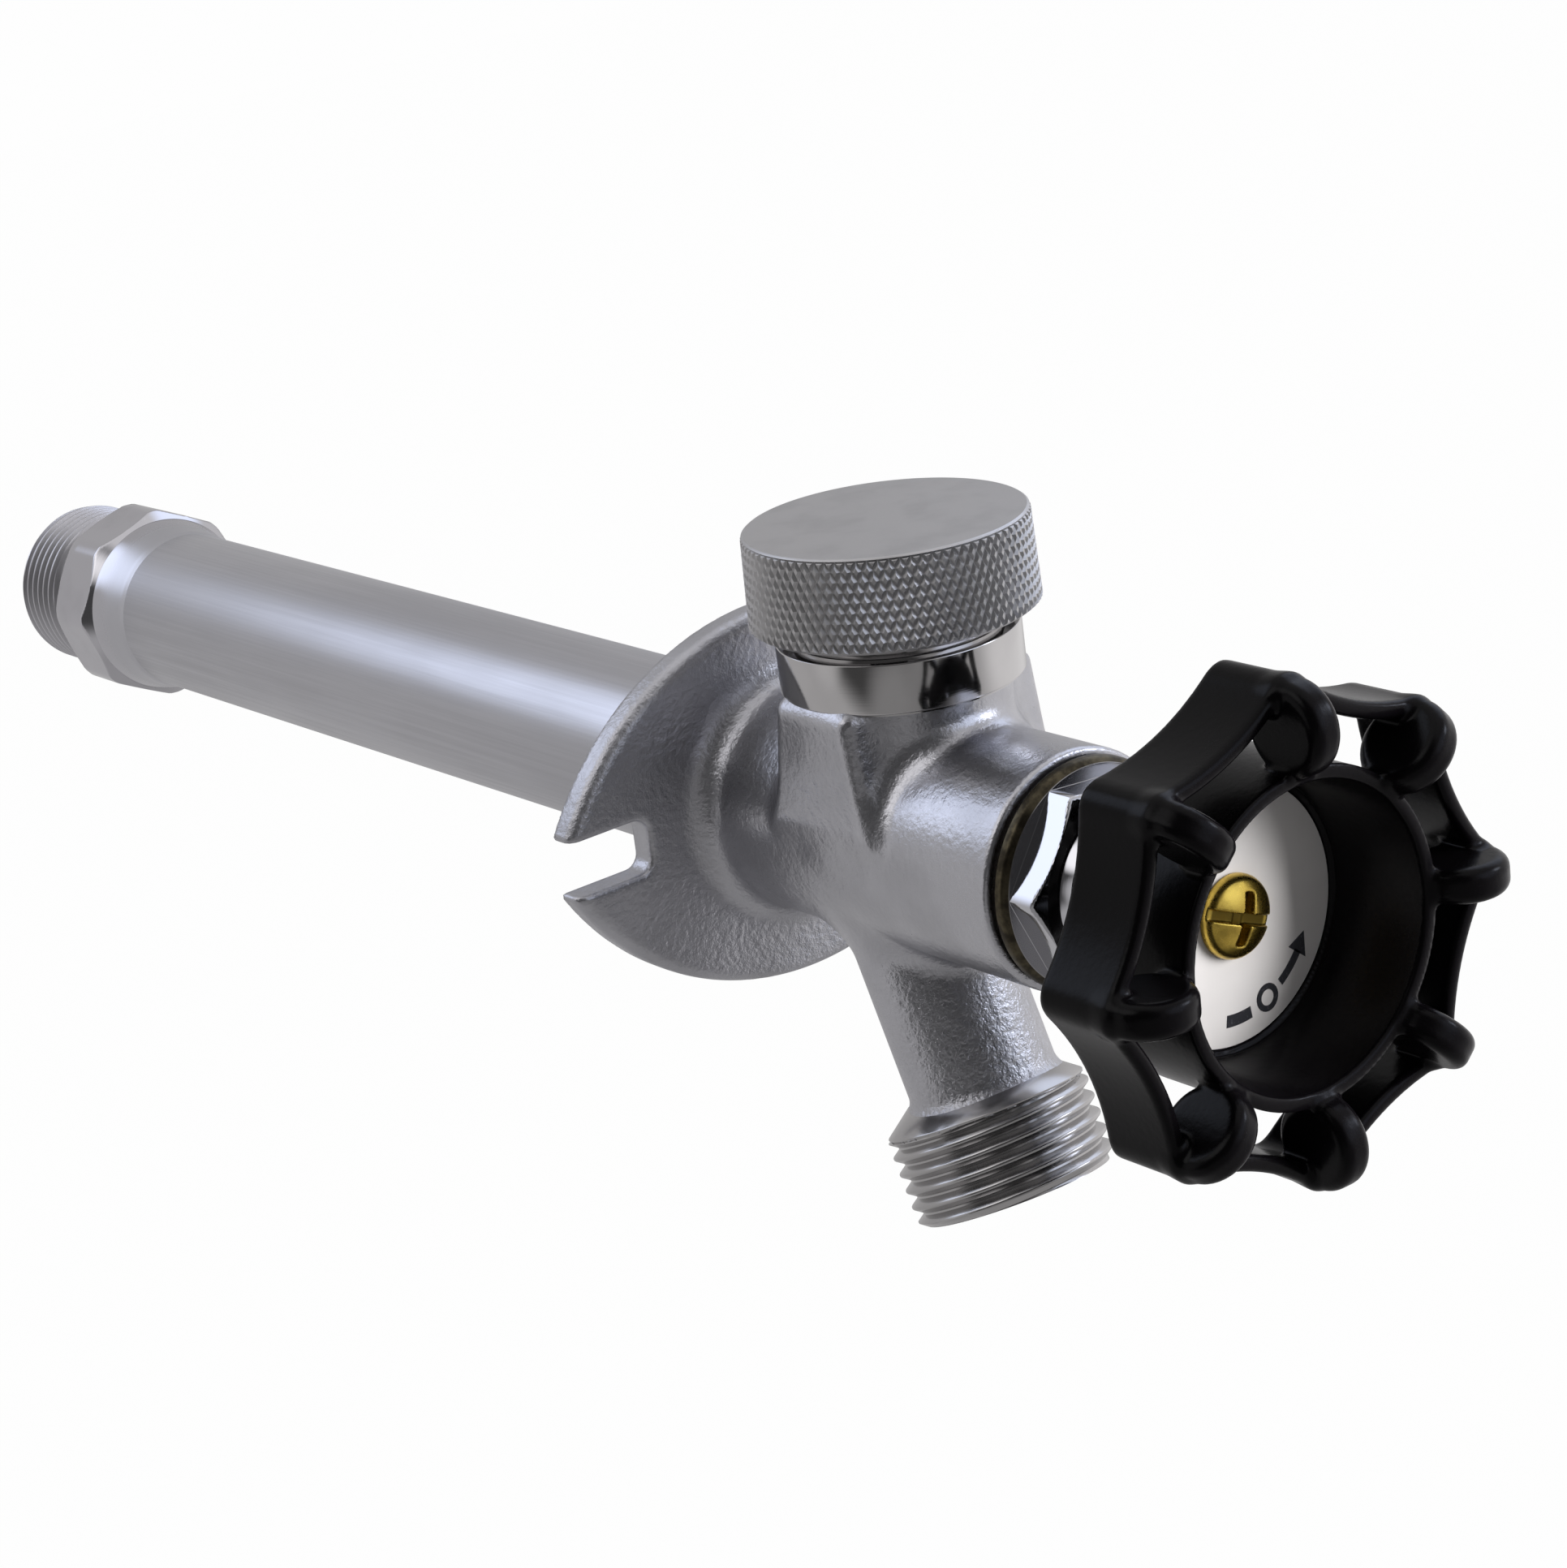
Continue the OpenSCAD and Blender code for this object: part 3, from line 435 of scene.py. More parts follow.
def wheel_rim(s, side, out, y):
    """The band that runs in eight lobes, an arc between each two."""
    middle, half_width = -90.75, 5.75
    arc, arc_side, arc_out = 33.0, 23.08, 55.71
    near = arc - np.hypot(side - arc_side, out - arc_out)
    far = arc - np.hypot(side + arc_side, out - arc_out)
    soft = np.maximum(s.lobe_round - np.abs(near - far), 0)
    lobes = np.maximum(near, far) + soft * soft / (4 * s.lobe_round)
    band = np.maximum(lobes, -lobes - s.rim_thickness)
    return kept(band, np.abs(y - middle) - half_width, s.rim_edge)


def wheel_cup(radius, y):
    """The cup with its tapered hollow and the ring round the label, and the hub behind it."""
    front, floor, back, outer, lip = -97.4, -83.68, -81.08, 20.1, 18.4
    back_lean, hollow_lean = 0.207, 0.1312
    behind = (y - back - back_lean * (outer - radius)) / math.hypot(1.0, back_lean)
    cup = kept(kept(radius - outer, behind, 1.5), front - y, 0.35)
    hollow = (radius - lip + (y - front) * hollow_lean) / math.hypot(1.0, hollow_lean)
    cup = cut(cup, kept(hollow, y - floor, 0.5), 0.5)
    ring_out, ring_y, ring_round = 16.4, -84.0, 0.42
    cup = joined(cup, np.hypot(radius - ring_out, y - ring_y) - ring_round, 0.2)
    hub_radius, hub_back, hub_front = 8.4, -69.8, -82.0
    hub = kept(radius - hub_radius, y - hub_back, 0.5)
    return joined(cup, np.maximum(hub, hub_front - y), 3.0)


def wheel_shape(s, x, y, z):
    """Lobed rim, eight round-fronted spokes, cup and hub, with the stem's square hole."""
    radius = np.hypot(x, z)
    wedge = TURN / 8
    angle = np.arctan2(x, z) - math.radians(s.phase)
    angle = angle - np.round(angle / wedge) * wedge
    side = np.abs(radius * np.sin(angle))
    out = radius * np.cos(angle)
    spoke_out, spoke_y, spoke_round, spoke_half = 25.0, -96.6, 5.69, 2.2
    spoke = kept(np.hypot(out - spoke_out, y - spoke_y) - spoke_round, side - spoke_half, s.spoke_edge)
    rim = joined(wheel_rim(s, side, out, y), spoke, 1.2)
    shape = joined(rim, wheel_cup(radius, y), 1.0)
    square_half, hole_radius, hole_floor = 3.04, 4.45, -71.35
    square = np.maximum(np.abs(x), np.abs(z)) - square_half
    shape = cut(shape, np.maximum(square, span(y, -85.0, hole_floor + 0.05)))
    return cut(shape, np.maximum(radius - hole_radius, hole_floor - y))


def screw_shape(s, x, y, z):
    """Domed head with a long slot and a short cross groove, and its shank."""
    head_radius, head_back, dome_radius, dome_y = 5.1, -84.22, 9.5, -77.52
    shank_radius, shank_back, shank_front = 2.0, -72.22, -85.5
    slot_half, slot_floor, cross_floor, turn = 0.65, -85.15, -84.95, math.radians(22.0)
    radius = np.hypot(x, z)
    head = kept(radius - head_radius, np.hypot(radius, y - dome_y) - dome_radius, s.dome)
    head = kept(head, y - head_back, 0.15)
    shank = kept(radius - shank_radius, y - shank_back, 0.6)
    shape = np.minimum(head, np.maximum(shank, shank_front - y))
    along = x * math.cos(turn) - z * math.sin(turn)
    over = x * math.sin(turn) + z * math.cos(turn)
    shape = cut(shape, np.maximum(np.abs(over) - slot_half, y - slot_floor), 0.2)
    return cut(shape, np.maximum(round_slot(along, over, 0.7, 3.2, 0.4), y - cross_floor), 0.2)


def skin(shape, low, high, step):
    """A closed quad skin on a shape's surface between two corners, in millimetres."""
    axes = [np.arange(a, b + step, step) for a, b in zip(low, high)]
    field = shape(axes[0][:, None, None], axes[1][None, :, None], axes[2][None, None, :])
    inside = field < 0
    ends = slice(None, -1), slice(1, None)
    count = sum(inside[cell].astype(int) for cell in itertools.product(ends, repeat=3))
    mixed = (count > 0) & (count < 8)
    cells = np.argwhere(mixed)
    number = -np.ones(mixed.shape, int)
    number[mixed] = np.arange(len(cells))
    unit = np.eye(3, dtype=int)

    # each cell's point is the middle of the places where its edges meet the surface
    total = np.zeros((len(cells), 3))
    hits = np.zeros(len(cells))
    for axis, start in itertools.product(range(3), itertools.product((0, 1), repeat=3)):
        if start[axis]:
            continue
        near, far = field[tuple((cells + start).T)], field[tuple((cells + start + unit[axis]).T)]
        crossed = (near < 0) != (far < 0)
        share = np.where(crossed, near / (near - far + 1e-30), 0)
        total[crossed] += (start + share[:, None] * unit[axis])[crossed]
        hits[crossed] += 1
    verts = (cells + total / hits[:, None]) * step + np.array(low)

    # a quad joins the four cells round each edge that crosses the surface, facing outward
    quads = []
    for axis, u, w in ((0, 1, 2), (1, 2, 0), (2, 0, 1)):
        inner = [slice(1, -1)] * 3
        first, second = (inside[tuple(inner[:axis] + [end] + inner[axis + 1:])] for end in ends)
        changed = np.argwhere(first != second)
        outward = first[tuple(changed.T)]
        base = changed + unit[u] + unit[w]
        ring = [number[tuple((base - du * unit[u] - dw * unit[w]).T)]
                for du, dw in ((1, 1), (0, 1), (0, 0), (1, 0))]
        quad = np.stack(ring, 1)
        quad[~outward] = quad[~outward][:, ::-1]
        quads.append(quad)

    # the points move along the shape's slope onto its surface
    for _ in range(3):
        here = shape(*verts.T)
        slope = np.stack([(shape(*(verts + d).T) - shape(*(verts - d).T)) / 0.02
                          for d in np.eye(3) * 0.01], 1)
        move = here[:, None] * slope / np.maximum((slope ** 2).sum(1), 0.25)[:, None]
        verts = verts - np.clip(move, -0.4 * step, 0.4 * step)
    return verts, np.vstack(quads)



# Turned shapes

def outline(*corners):
    """A closed outline of (radius, height) points from corners (radius, height[, rounding])."""
    points = [np.array(c[:2], float) for c in corners]
    result = []
    for n, corner in enumerate(corners):
        here, before, after = points[n], points[n - 1], points[(n + 1) % len(points)]
        rounding = corner[2] if len(corner) > 2 else 0
        if not rounding:
            result.append(tuple(here))
            continue
        a, b = before - here, after - here
        la, lb = np.hypot(*a), np.hypot(*b)
        a, b = a / la, b / lb
        half = math.acos(max(-1, min(1, float(a @ b)))) / 2
        reach = min(rounding / math.tan(half), 0.48 * la, 0.48 * lb)
        true = reach * math.tan(half)
        middle = here + (a + b) / np.hypot(*(a + b)) * true / math.sin(half)
        start, end = here + a * reach - middle, here + b * reach - middle
        t0, t1 = math.atan2(start[1], start[0]), math.atan2(end[1], end[0])
        turn = (t1 - t0 + math.pi) % TURN - math.pi
        for share in np.linspace(0, 1, 6):
            t = t0 + turn * share
            result.append((middle[0] + true * math.cos(t), middle[1] + true * math.sin(t)))
    return result


def steps_between(low, high, step):
    return list(np.linspace(low, high, max(2, int(abs(high - low) / step) + 1)))


def turned(rows, count, start=0.0):
    """Vertices and quads round an axis. A row is a radius and a height: a number, or one for each angle."""
    angle = start + np.linspace(0, TURN, count + 1)
    verts = []
    for radius, height in rows:
        r, h = np.broadcast_to(radius, angle.shape), np.broadcast_to(height, angle.shape)
        verts.append(np.stack([r * np.cos(angle), r * np.sin(angle), h], 1))
    row, column = np.meshgrid(np.arange(len(rows)), np.arange(count), indexing="ij")
    following = (row + 1) % len(rows)
    wide = count + 1
    quads = np.stack([row * wide + column, row * wide + column + 1,
                      following * wide + column + 1, following * wide + column], -1).reshape(-1, 4)
    return np.concatenate(verts), quads


def ridge(root, *rise):
    """One turn of a thread as (share of the pitch, radius) pairs, from its rising half up to the crest."""
    return [(0.0, root), *rise, *((1.0 - share, radius) for share, radius in reversed(rise[:-1]))]


def thread_rows(count, low, high, pitch, phase, shape, limit):
    """Rows that climb with a right-handed thread between two heights, inside a limit for each height."""
    lap = np.linspace(0, 1, count + 1)
    shares = [p[0] for p in shape] + [1.0]
    radii = [p[1] for p in shape] + [shape[0][1]]
    rows = []
    for turn in range(-2, int((high - low) / pitch) + 3):
        for share, _ in shape:
            height = np.clip(low + phase + (turn + share + lap) * pitch, low, high)
            where = ((height - low - phase) / pitch - lap) % 1.0
            where = np.where(where > 1 - 1e-6, 0.0, where)
            radius = np.minimum(np.interp(where, shares, radii), limit(height))
            rows.append((radius, height))
    return rows


def flats(count, sides, across, corner_cut):
    """Radius of a polygon's side at each angle, with its corners cut to a circle."""
    wedge = TURN / sides
    offset = np.linspace(0, TURN, count + 1) % wedge - wedge / 2
    return np.minimum(across / 2 / np.cos(offset), corner_cut)


# Pieces

def placed(name, data):
    obj = bpy.data.objects.new(name, data)
    bpy.context.scene.collection.objects.link(obj)
    return obj


def mesh_of(name, verts, quads):
    """A mesh in metres from points in millimetres."""
    mesh = bpy.data.meshes.new(name)
    mesh.from_pydata((np.asarray(verts, float) * MM).tolist(), [], np.asarray(quads).tolist())
    return mesh


def close_up(mesh):
    """Merges the doubles of a turned surface and turns its faces outward."""
    bm = bmesh.new()
    bm.from_mesh(mesh)
    bmesh.ops.remove_doubles(bm, verts=bm.verts, dist=2e-6)
    bmesh.ops.dissolve_degenerate(bm, edges=bm.edges, dist=1e-7)
    for context, parts in (("EDGES", bm.edges), ("VERTS", bm.verts)):
        bmesh.ops.delete(bm, geom=[part for part in parts if not part.link_faces], context=context)
    bmesh.ops.recalc_face_normals(bm, faces=bm.faces)
    if bm.calc_volume(signed=True) < 0:
        bmesh.ops.reverse_faces(bm, faces=bm.faces)
    bm.to_mesh(mesh)
    bm.free()


def must_be_closed(mesh):
    bm = bmesh.new()
    bm.from_mesh(mesh)
    count = sum(1 for e in bm.edges if len(e.link_faces) % 2 or not e.link_faces)
    bm.free()
    if count:
        raise RuntimeError(f"{mesh.name} has {count} open edges")


def settle(name, mesh, finish, body, slot, replaces=(), sharp=0.0):
    """Smooth shading, the finish, and the calls that fix the piece to its body."""
    must_be_closed(mesh)
    for polygon in mesh.polygons:
        polygon.use_smooth = True
    if sharp:
        mesh.set_sharp_from_angle(angle=math.radians(sharp))
    mesh.materials.clear()
    mesh.materials.append(finish)
    obj = placed(name, mesh)
    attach(obj, body)
    for node in replaces:
        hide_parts(node)


def skinned(name, shape, sizes, low, high, step, *settled):
    """A piece from a shape's skin. The last arguments go to settle."""
    verts, quads = skin(lambda x, y, z: shape(sizes, x, y, z), low, high, step)
    settle(name, mesh_of(name, verts, quads), *settled)


def turned_piece(name, rows, count, *settled, start=0.0, stand=ALONG_TUBE, foot=ORIGIN):
    """A piece turned about an axis that stand turns and foot moves. The plain arguments go to settle."""
    verts, quads = turned(rows, count, start)
    mesh = mesh_of(name, verts @ stand.T + foot, quads)
    close_up(mesh)
    settle(name, mesh, *settled)


# Settings

def millimetres(name, description, default, low, high):
    return bpy.props.FloatProperty(name=name, description=description, default=default, min=low, max=high)


def number(name, description, default, low, high):
    return bpy.props.IntProperty(name=name, description=description, default=default, min=low, max=high)


def colour(name, description, default):
    return bpy.props.FloatVectorProperty(name=name, description=description, default=default,
                                         size=3, min=0, max=1, subtype="COLOR")


def share(name, description, default):
    return bpy.props.FloatProperty(name=name, description=description, default=default,
                                   min=0, max=1, subtype="FACTOR")


class CastingSizes(bpy.types.PropertyGroup):
    """Edges and fillets of the casting, in millimetres."""
    flange_edge: millimetres("Flange edge", "Rounding of the flange's front edge", 1.8, 0.2, 3)
    slot_edge: millimetres("Slot edge", "Rounding of the slots' edges", 0.7, 0.1, 1.5)
    hub_fillet: millimetres("Hub fillet", "Fillet between flange and barrel", 4.0, 1, 6)
    neck_fillet: millimetres("Neck fillet", "Fillet between barrel and vacuum breaker", 3.0, 1, 5)
    stalk_fillet: millimetres("Nozzle fillet", "Fillet between barrel and nozzle", 3.6, 1, 6)
    step: millimetres("Skin step", "Distance between the skin's points", 0.52, 0.3, 1)


class ThreadSizes(bpy.types.PropertyGroup):
    """Threads of nozzle and inlet, in millimetres."""
    hose_pitch: millimetres("Hose pitch", "Pitch of the hose thread", 2.209, 1, 4)
    hose_phase: millimetres("Hose start", "Height at which the hose thread starts", 0.8, 0, 3)
    inlet_pitch: millimetres("Inlet pitch", "Pitch of the inlet's male thread", 1.814, 1, 4)
    inlet_phase: millimetres("Inlet start", "Height at which the inlet's thread starts", 0.4, 0, 3)
    around: number("Points round", "Points round the hose thread", 144, 48, 240)


class KnurlSizes(bpy.types.PropertyGroup):
    """Diamond knurl of the vacuum breaker's cap, in millimetres."""
    around: number("Diamonds round", "Diamonds in one row", 84, 20, 160)
    rows: number("Rows", "Full rows of diamonds", 8, 1, 20)
    row_step: millimetres("Row step", "Height of half a diamond", 1.275, 0.5, 3)
    first: millimetres("First row", "Height of the knurl's lower end", 28.5, 28, 32)
    depth: millimetres("Depth", "Depth of the grooves", 0.34, 0.1, 0.8)
    flat: share("Flat top", "Share of a diamond that is flat on top", 0.38)


class WheelSizes(bpy.types.PropertyGroup):
    """Edges of the hand wheel, in millimetres, and how it is turned."""
    phase: bpy.props.FloatProperty(name="Turn", description="Turn of the wheel at rest, in degrees",
                                   default=1.0, min=-22, max=22)
    rim_thickness: millimetres("Rim", "Thickness of the rim", 2.1, 1, 4)
    rim_edge: millimetres("Rim edge", "Rounding of the rim's edges", 0.9, 0.2, 1)
    lobe_round: millimetres("Lobes", "Softness of the lobes", 3.25, 1, 5)
    spoke_edge: millimetres("Spoke edge", "Rounding of the spokes' edges", 1.5, 0.3, 2)
    dome: millimetres("Screw edge", "Rounding of the handle screw's edge", 0.7, 0.3, 2)
    step: millimetres("Skin step", "Distance between the skin's points", 0.42, 0.3, 1)


class FinishColours(bpy.types.PropertyGroup):
    """Colours and roughness of the finishes."""
    cast_colour: colour("Casting", "Plated casting", (0.52, 0.52, 0.55))
    cast_roughness: share("Casting roughness", "Roughness of the plated casting", 0.27)
    collar_colour: colour("Collar", "Machined collar and threads", (0.58, 0.57, 0.57))
    tube_colour: colour("Tube", "Satin tube", (0.545, 0.545, 0.575))
    tube_roughness: share("Tube roughness", "Roughness of the tube", 0.33)
    inlet_colour: colour("Inlet", "Polished inlet fitting", (0.58, 0.575, 0.605))
    nut_colour: colour("Nut", "Polished packing nut", (0.6, 0.6, 0.63))
    cap_colour: colour("Cap", "Knurled cap", (0.52, 0.515, 0.52))
    cap_roughness: share("Cap roughness", "Roughness of the cap", 0.42)
    wheel_colour: colour("Wheel", "Black paint of the wheel", (0.0032, 0.0027, 0.0034))
    wheel_roughness: share("Wheel roughness", "Roughness of the paint", 0.24)
    label_colour: colour("Label", "White plastic of the label", (0.82, 0.79, 0.78))
    brass_colour: colour("Brass", "Brass of the handle screw", (0.74, 0.52, 0.1))


class StudioSizes(bpy.types.PropertyGroup):
    """Floor, tent and lamp."""
    floor_height: bpy.props.FloatProperty(name="Floor", description="Height of the floor",
                                          default=-0.82, subtype="DISTANCE")
    key_power: bpy.props.FloatProperty(name="Key lamp", description="Power of the key lamp",
                                       default=11.0, unit="POWER")
    room_light: share("Room light", "Strength of the room's soft light", 0.22)
    tent_light: share("Tent light", "Brightness of the tent's plain cloth", 0.5)


# Operators

class MakeCasting(bpy.types.Operator):
    """Makes the casting's skin, its machined collar and its hose thread"""
    bl_idname = "sillcock.casting"
    bl_label = "Casting"

    def execute(self, context):
        look, sizes = context.scene.sillcock_finishes, context.scene.sillcock_casting
        skinned("casting", casting_shape, sizes, (-38, -59.9, -44), (38, 1.0, 26.2), sizes.step,
                cast_chrome(look), "body", "cast_chrome", ["body_casting"])
        self.collar(look)
        self.hose_thread(context.scene.sillcock_threads, look)
        return {"FINISHED"}

    def collar(self, look):
        """The machined collar and the spigot above it, with four air grooves between the main directions."""
        count, spigot, groove_floor, groove_half_width = 144, 13.2, 12.0, 2.0
        foot, collar_top, spigot_top = 19.5, 26.2, 34.2
        eighth = TURN / 8
        off_axis = np.abs((np.linspace(0, TURN, count + 1) - eighth) % (2 * eighth) - eighth)
        grooved = np.where(off_axis > eighth - math.asin(groove_half_width / spigot), groove_floor, spigot)
        rows = outline((SPIGOT_BORE, foot), (14.9, foot), (14.9, foot + 0.3), (15.4, foot + 0.3, 0.35),
                       (15.4, collar_top, 0.2), (spigot, collar_top, 0.25))
        rows += [(spigot, collar_top + 0.59), (grooved, collar_top + 0.6), (grooved, 30.0),
                 (grooved, spigot_top - 0.3), (grooved - 0.3, spigot_top), (SPIGOT_BORE, spigot_top),
                 (SPIGOT_BORE, 27.0)]
        finish = turned_chrome("collar_chrome", look.collar_colour, 0.1, 0.2)
        turned_piece("collar", rows, count, finish, "body", "cast_chrome", (), 30.0,
                     stand=UPRIGHT, foot=BREAKER_FOOT)

    def hose_thread(self, t, look):
        end, top, inside = -52.1, -40.655, -38.5
        ridges = ridge(HOSE_ROOT, (0.06, HOSE_ROOT), (0.38, 13.37), (0.44, 13.47), (0.5, HOSE_CREST))
        rows = [(HOSE_BORE, inside), (HOSE_BORE, end + 0.5), (7.3, end), (12.2, end)]
        rows += thread_rows(t.around, end + 0.02, top, t.hose_pitch, t.hose_phase, ridges,
                            lambda height: HOSE_ROOT + (height - end) * 1.3)
        rows += [(13.0, top + 0.2), (13.19, top + 0.45), (13.22, top + 0.55), (13.12, top + 0.68),
                 (9.5, top + 3.45), (9.1, top + 3.45), (9.0, inside)]
        # painted shade: the hose thread takes the collar's colour at 0.8, darker for the dark surroundings it
        # reflects
        finish = turned_chrome("hose_thread_chrome", shade(look.collar_colour, 0.8), 0.2, 0.3)
        turned_piece("hose_thread", rows, t.around, finish, "body", "cast_chrome", (), 40.0,
                     stand=ALONG_NOZZLE, foot=NOZZLE_ROOT)


class MakeTube(bpy.types.Operator):
    """Makes the straight satin tube"""
    bl_idname = "sillcock.tube"
    bl_label = "Casing tube"

    def execute(self, context):
        look = context.scene.sillcock_finishes
        rows = outline((TUBE_BORE, TUBE_START), (TUBE_R, TUBE_START, 0.2),
                       (TUBE_R, TUBE_END, 0.2), (TUBE_BORE, TUBE_END))
        turned_piece("tube", rows, 160, tube_steel(look), "body", "tube_steel", ["casing_tube"], 30.0)
        return {"FINISHED"}


class MakeInlet(bpy.types.Operator):
    """Makes the inlet fitting with its flats, neck and pipe thread"""
    bl_idname = "sillcock.inlet"
    bl_label = "Inlet fitting"

    def execute(self, context):
        look, t = context.scene.sillcock_finishes, context.scene.sillcock_threads
        count = 160
        rows = self.cone_and_flats(flats(count, 8, 29.2, 15.45)) + self.pipe_thread(t, count) + self.inside()
        turned_piece("inlet", rows, count, inlet_chrome(look), "body", "inlet_chrome",
                     ["inlet_fitting"], 28.0, start=math.radians(3.8))
        return {"FINISHED"}

    def cone_and_flats(self, flat):
        """The lip on the tube, the hollow cone, the eight flats with turned corners, and the neck."""
        cone, cone_len, near, far = 156.0, 6.6, 162.62, 172.6
        rows = [(12.46, INLET_START), (12.55, INLET_START + 0.3), (12.66, INLET_START + 0.65)]
        for y in steps_between(cone, cone + cone_len, 0.6):
            bend = 1 - math.cos((y - cone) / cone_len * TURN / 4)
            rows.append((12.78 + 0.62 * bend + (y - cone) * 0.1, y))
        for y in steps_between(near, near + 1.98, 0.1):
            rows.append((np.minimum(flat, 14.06 + (y - near) * 0.86), y))
        for y in steps_between(near + 2.98, far - 0.2, 1.5):
            rows.append((flat, y))
        for y in steps_between(far, far + 1.0, 0.1):
            rows.append((np.minimum(flat, 15.4 - (y - far) * 1.3), y))
        neck = far + 1.0
        return rows + [(13.4, neck + 0.02), (12.5, neck + 0.05), (12.25, neck + 0.2), (12.2, neck + 0.5),
                       (12.2, neck + 1.9), (12.2, neck + 3.2), (12.1, neck + 3.8)]

    def pipe_thread(self, t, count):
        root, crest = 11.95, 13.1
        ridges = ridge(root, (0.06, root + 0.05), (0.34, 12.95), (0.42, 13.08), (0.5, crest))

        def limit(height):
            runout = root + np.maximum(height - INLET_NECK_END + 0.2, 0) * 1.2
            return np.minimum(12.35 + (INLET_END - height) * 0.9, runout)

        return thread_rows(count, INLET_NECK_END, INLET_END - 0.02, t.inlet_pitch, t.inlet_phase,
                           ridges, limit)

    def inside(self):
        """The end's chamfer, the female thread's bore, the seat and the tube's socket."""
        bore, port, seat, seat_face = 9.4, 6.4, 7.9, 167.0
        return [(11.7, INLET_END), (10.3, INLET_END), (bore, INLET_END - 0.9), (bore, 175.5), (port, 175.5),
                (port, seat_face), (seat, seat_face), (seat, seat_face + 1.6), (TUBE_BORE, seat_face + 1.6),
                (TUBE_BORE, TUBE_END + 0.02), (12.46, TUBE_END + 0.02)]


class MakeNut(bpy.types.Operator):
    """Makes the packing nut"""
    bl_idname = "sillcock.nut"
    bl_label = "Packing nut"

    def execute(self, context):
        look = context.scene.sillcock_finishes
        stem_hole, thread, front, back, count = 4.46, 10.9, -67.6, -53.82, 144
        hexagon, shoulder = -66.0, -61.2
        flat = flats(count, 6, 24.0, 13.75)
        rows = [(stem_hole, front), (9.5, front), (9.75, front + 0.1), (10.1, front + 1.3),
                (10.2, front + 1.5), (10.6, hexagon)]
        for y in steps_between(hexagon, hexagon + 1.4, 0.1):
            rows.append((np.minimum(flat, 12.0 + (y - hexagon) * 1.45), y))
        rows += [(flat, hexagon + 2.5), (flat, shoulder - 0.4), (flat, shoulder - 0.05),
                 (np.minimum(flat + 0.05, 13.8), shoulder)]
        rows += [(13.75, shoulder), (14.2, shoulder + 0.45), (14.4, shoulder + 0.7), (14.5, shoulder + 1.0),
                 (14.5, shoulder + 1.7), (14.35, shoulder + 2.0), (thread, shoulder + 2.0), (thread, back),
                 (stem_hole, back)]
        turned_piece("nut", rows, count, nut_chrome(look), "body", "nut_chrome", ["packing_nut"], 24.0,
                     start=math.radians(5.0))
        return {"FINISHED"}


KNURL_INPUTS = (("Diamonds round", "Int"), ("Rows", "Int"), ("Row step", "Float"), ("First row", "Float"),
                ("Foot radius", "Float"), ("Taper", "Float"), ("Depth", "Float"), ("Flat top", "Float"),
                ("Material", "Material"))


def knurl_tree():
    """Rows of flat-topped diamonds round a slightly tapered cap, joined to the cap's turned body."""
    tree = bpy.data.node_groups.new("cap_knurl", "GeometryNodeTree")
    face = tree.interface
    for name, kind in (("Geometry", "Geometry"), *KNURL_INPUTS):
        face.new_socket(name=name, in_out="INPUT", socket_type="NodeSocket" + kind)
    face.new_socket(name="Geometry", in_out="OUTPUT", socket_type="NodeSocketGeometry")
    b = Bench(tree)
    given = b.add("NodeGroupInput").outputs
    numbers = [Amount(b, given[name]) for name, kind in KNURL_INPUTS if kind != "Material"]
    around, rows, step, first, foot, taper, depth, flat = numbers
    half_width = foot * math.pi / around
    index = b.amount("GeometryNodeInputIndex", 0)
    collected = [given["Geometry"]]
    whole, upward, downward = (4, rows, 1.0, 0.0), (3, 1, 0.0, 1.0), (3, 1, rows + 1.0, -1.0)
    for corners, row_count, base_row, points_up in (whole, upward, downward):
        row = (index / around).do("FLOOR")
        angle = (index - row * around + 0.5 * ((row + base_row) % 2.0)) * TURN / around
        height = first + step * (row + base_row)
        radius = foot - taper * (height - first)
        # a triangle's middle lies a third of its height above its base
        seat = height + step * (points_up / 3.0)
        place = b.add("ShaderNodeCombineXYZ", {0: angle.do("COSINE") * radius, 1: angle.do("SINE") * radius,
                                               2: seat})
        points = b.add("GeometryNodePoints", {"Count": around * row_count, "Position": place.outputs[0]})
        cone = b.add("GeometryNodeMeshCone", {"Vertices": corners, "Radius Top": flat,
                                              "Radius Bottom": 1.0, "Depth": 1.0})
        tall = step if corners == 4 else step * (points_up * 2.0 / 3.0)
        wide = half_width if corners == 4 else half_width * (2.0 / math.sqrt(3.0))
        size = b.add("ShaderNodeCombineXYZ", {0: tall * -1.0, 1: wide, 2: depth})
        shaped = b.add("GeometryNodeTransform", {"Geometry": cone.outputs["Mesh"], "Scale": size.outputs[0]})
        outward = b.add("GeometryNodeTransform", {"Geometry": shaped.outputs[0],
                                                  "Rotation": (0, math.pi / 2, 0)})
        turn = b.add("ShaderNodeCombineXYZ", {2: angle})
        turned_to = b.add("FunctionNodeEulerToRotation", {0: turn.outputs[0]})
        on_cap = b.add("GeometryNodeInstanceOnPoints",
                       {"Points": points.outputs[0], "Instance": outward.outputs[0],
                        "Rotation": turned_to.outputs[0]})
        collected.append(on_cap.outputs[0])
    join = b.add("GeometryNodeJoinGeometry")
    for socket in collected:
        tree.links.new(socket, join.inputs[0])
    real = b.add("GeometryNodeRealizeInstances", {0: join.outputs[0]})
    painted = b.add("GeometryNodeSetMaterial", {"Geometry": real.outputs[0], "Material": given["Material"]})
    b.add("NodeGroupOutput", {0: painted.outputs[0]})
    return tree


def socket_of(tree, name):
    return next(item.identifier for item in tree.interface.items_tree
                if item.item_type == "SOCKET" and item.in_out == "INPUT" and item.name == name)


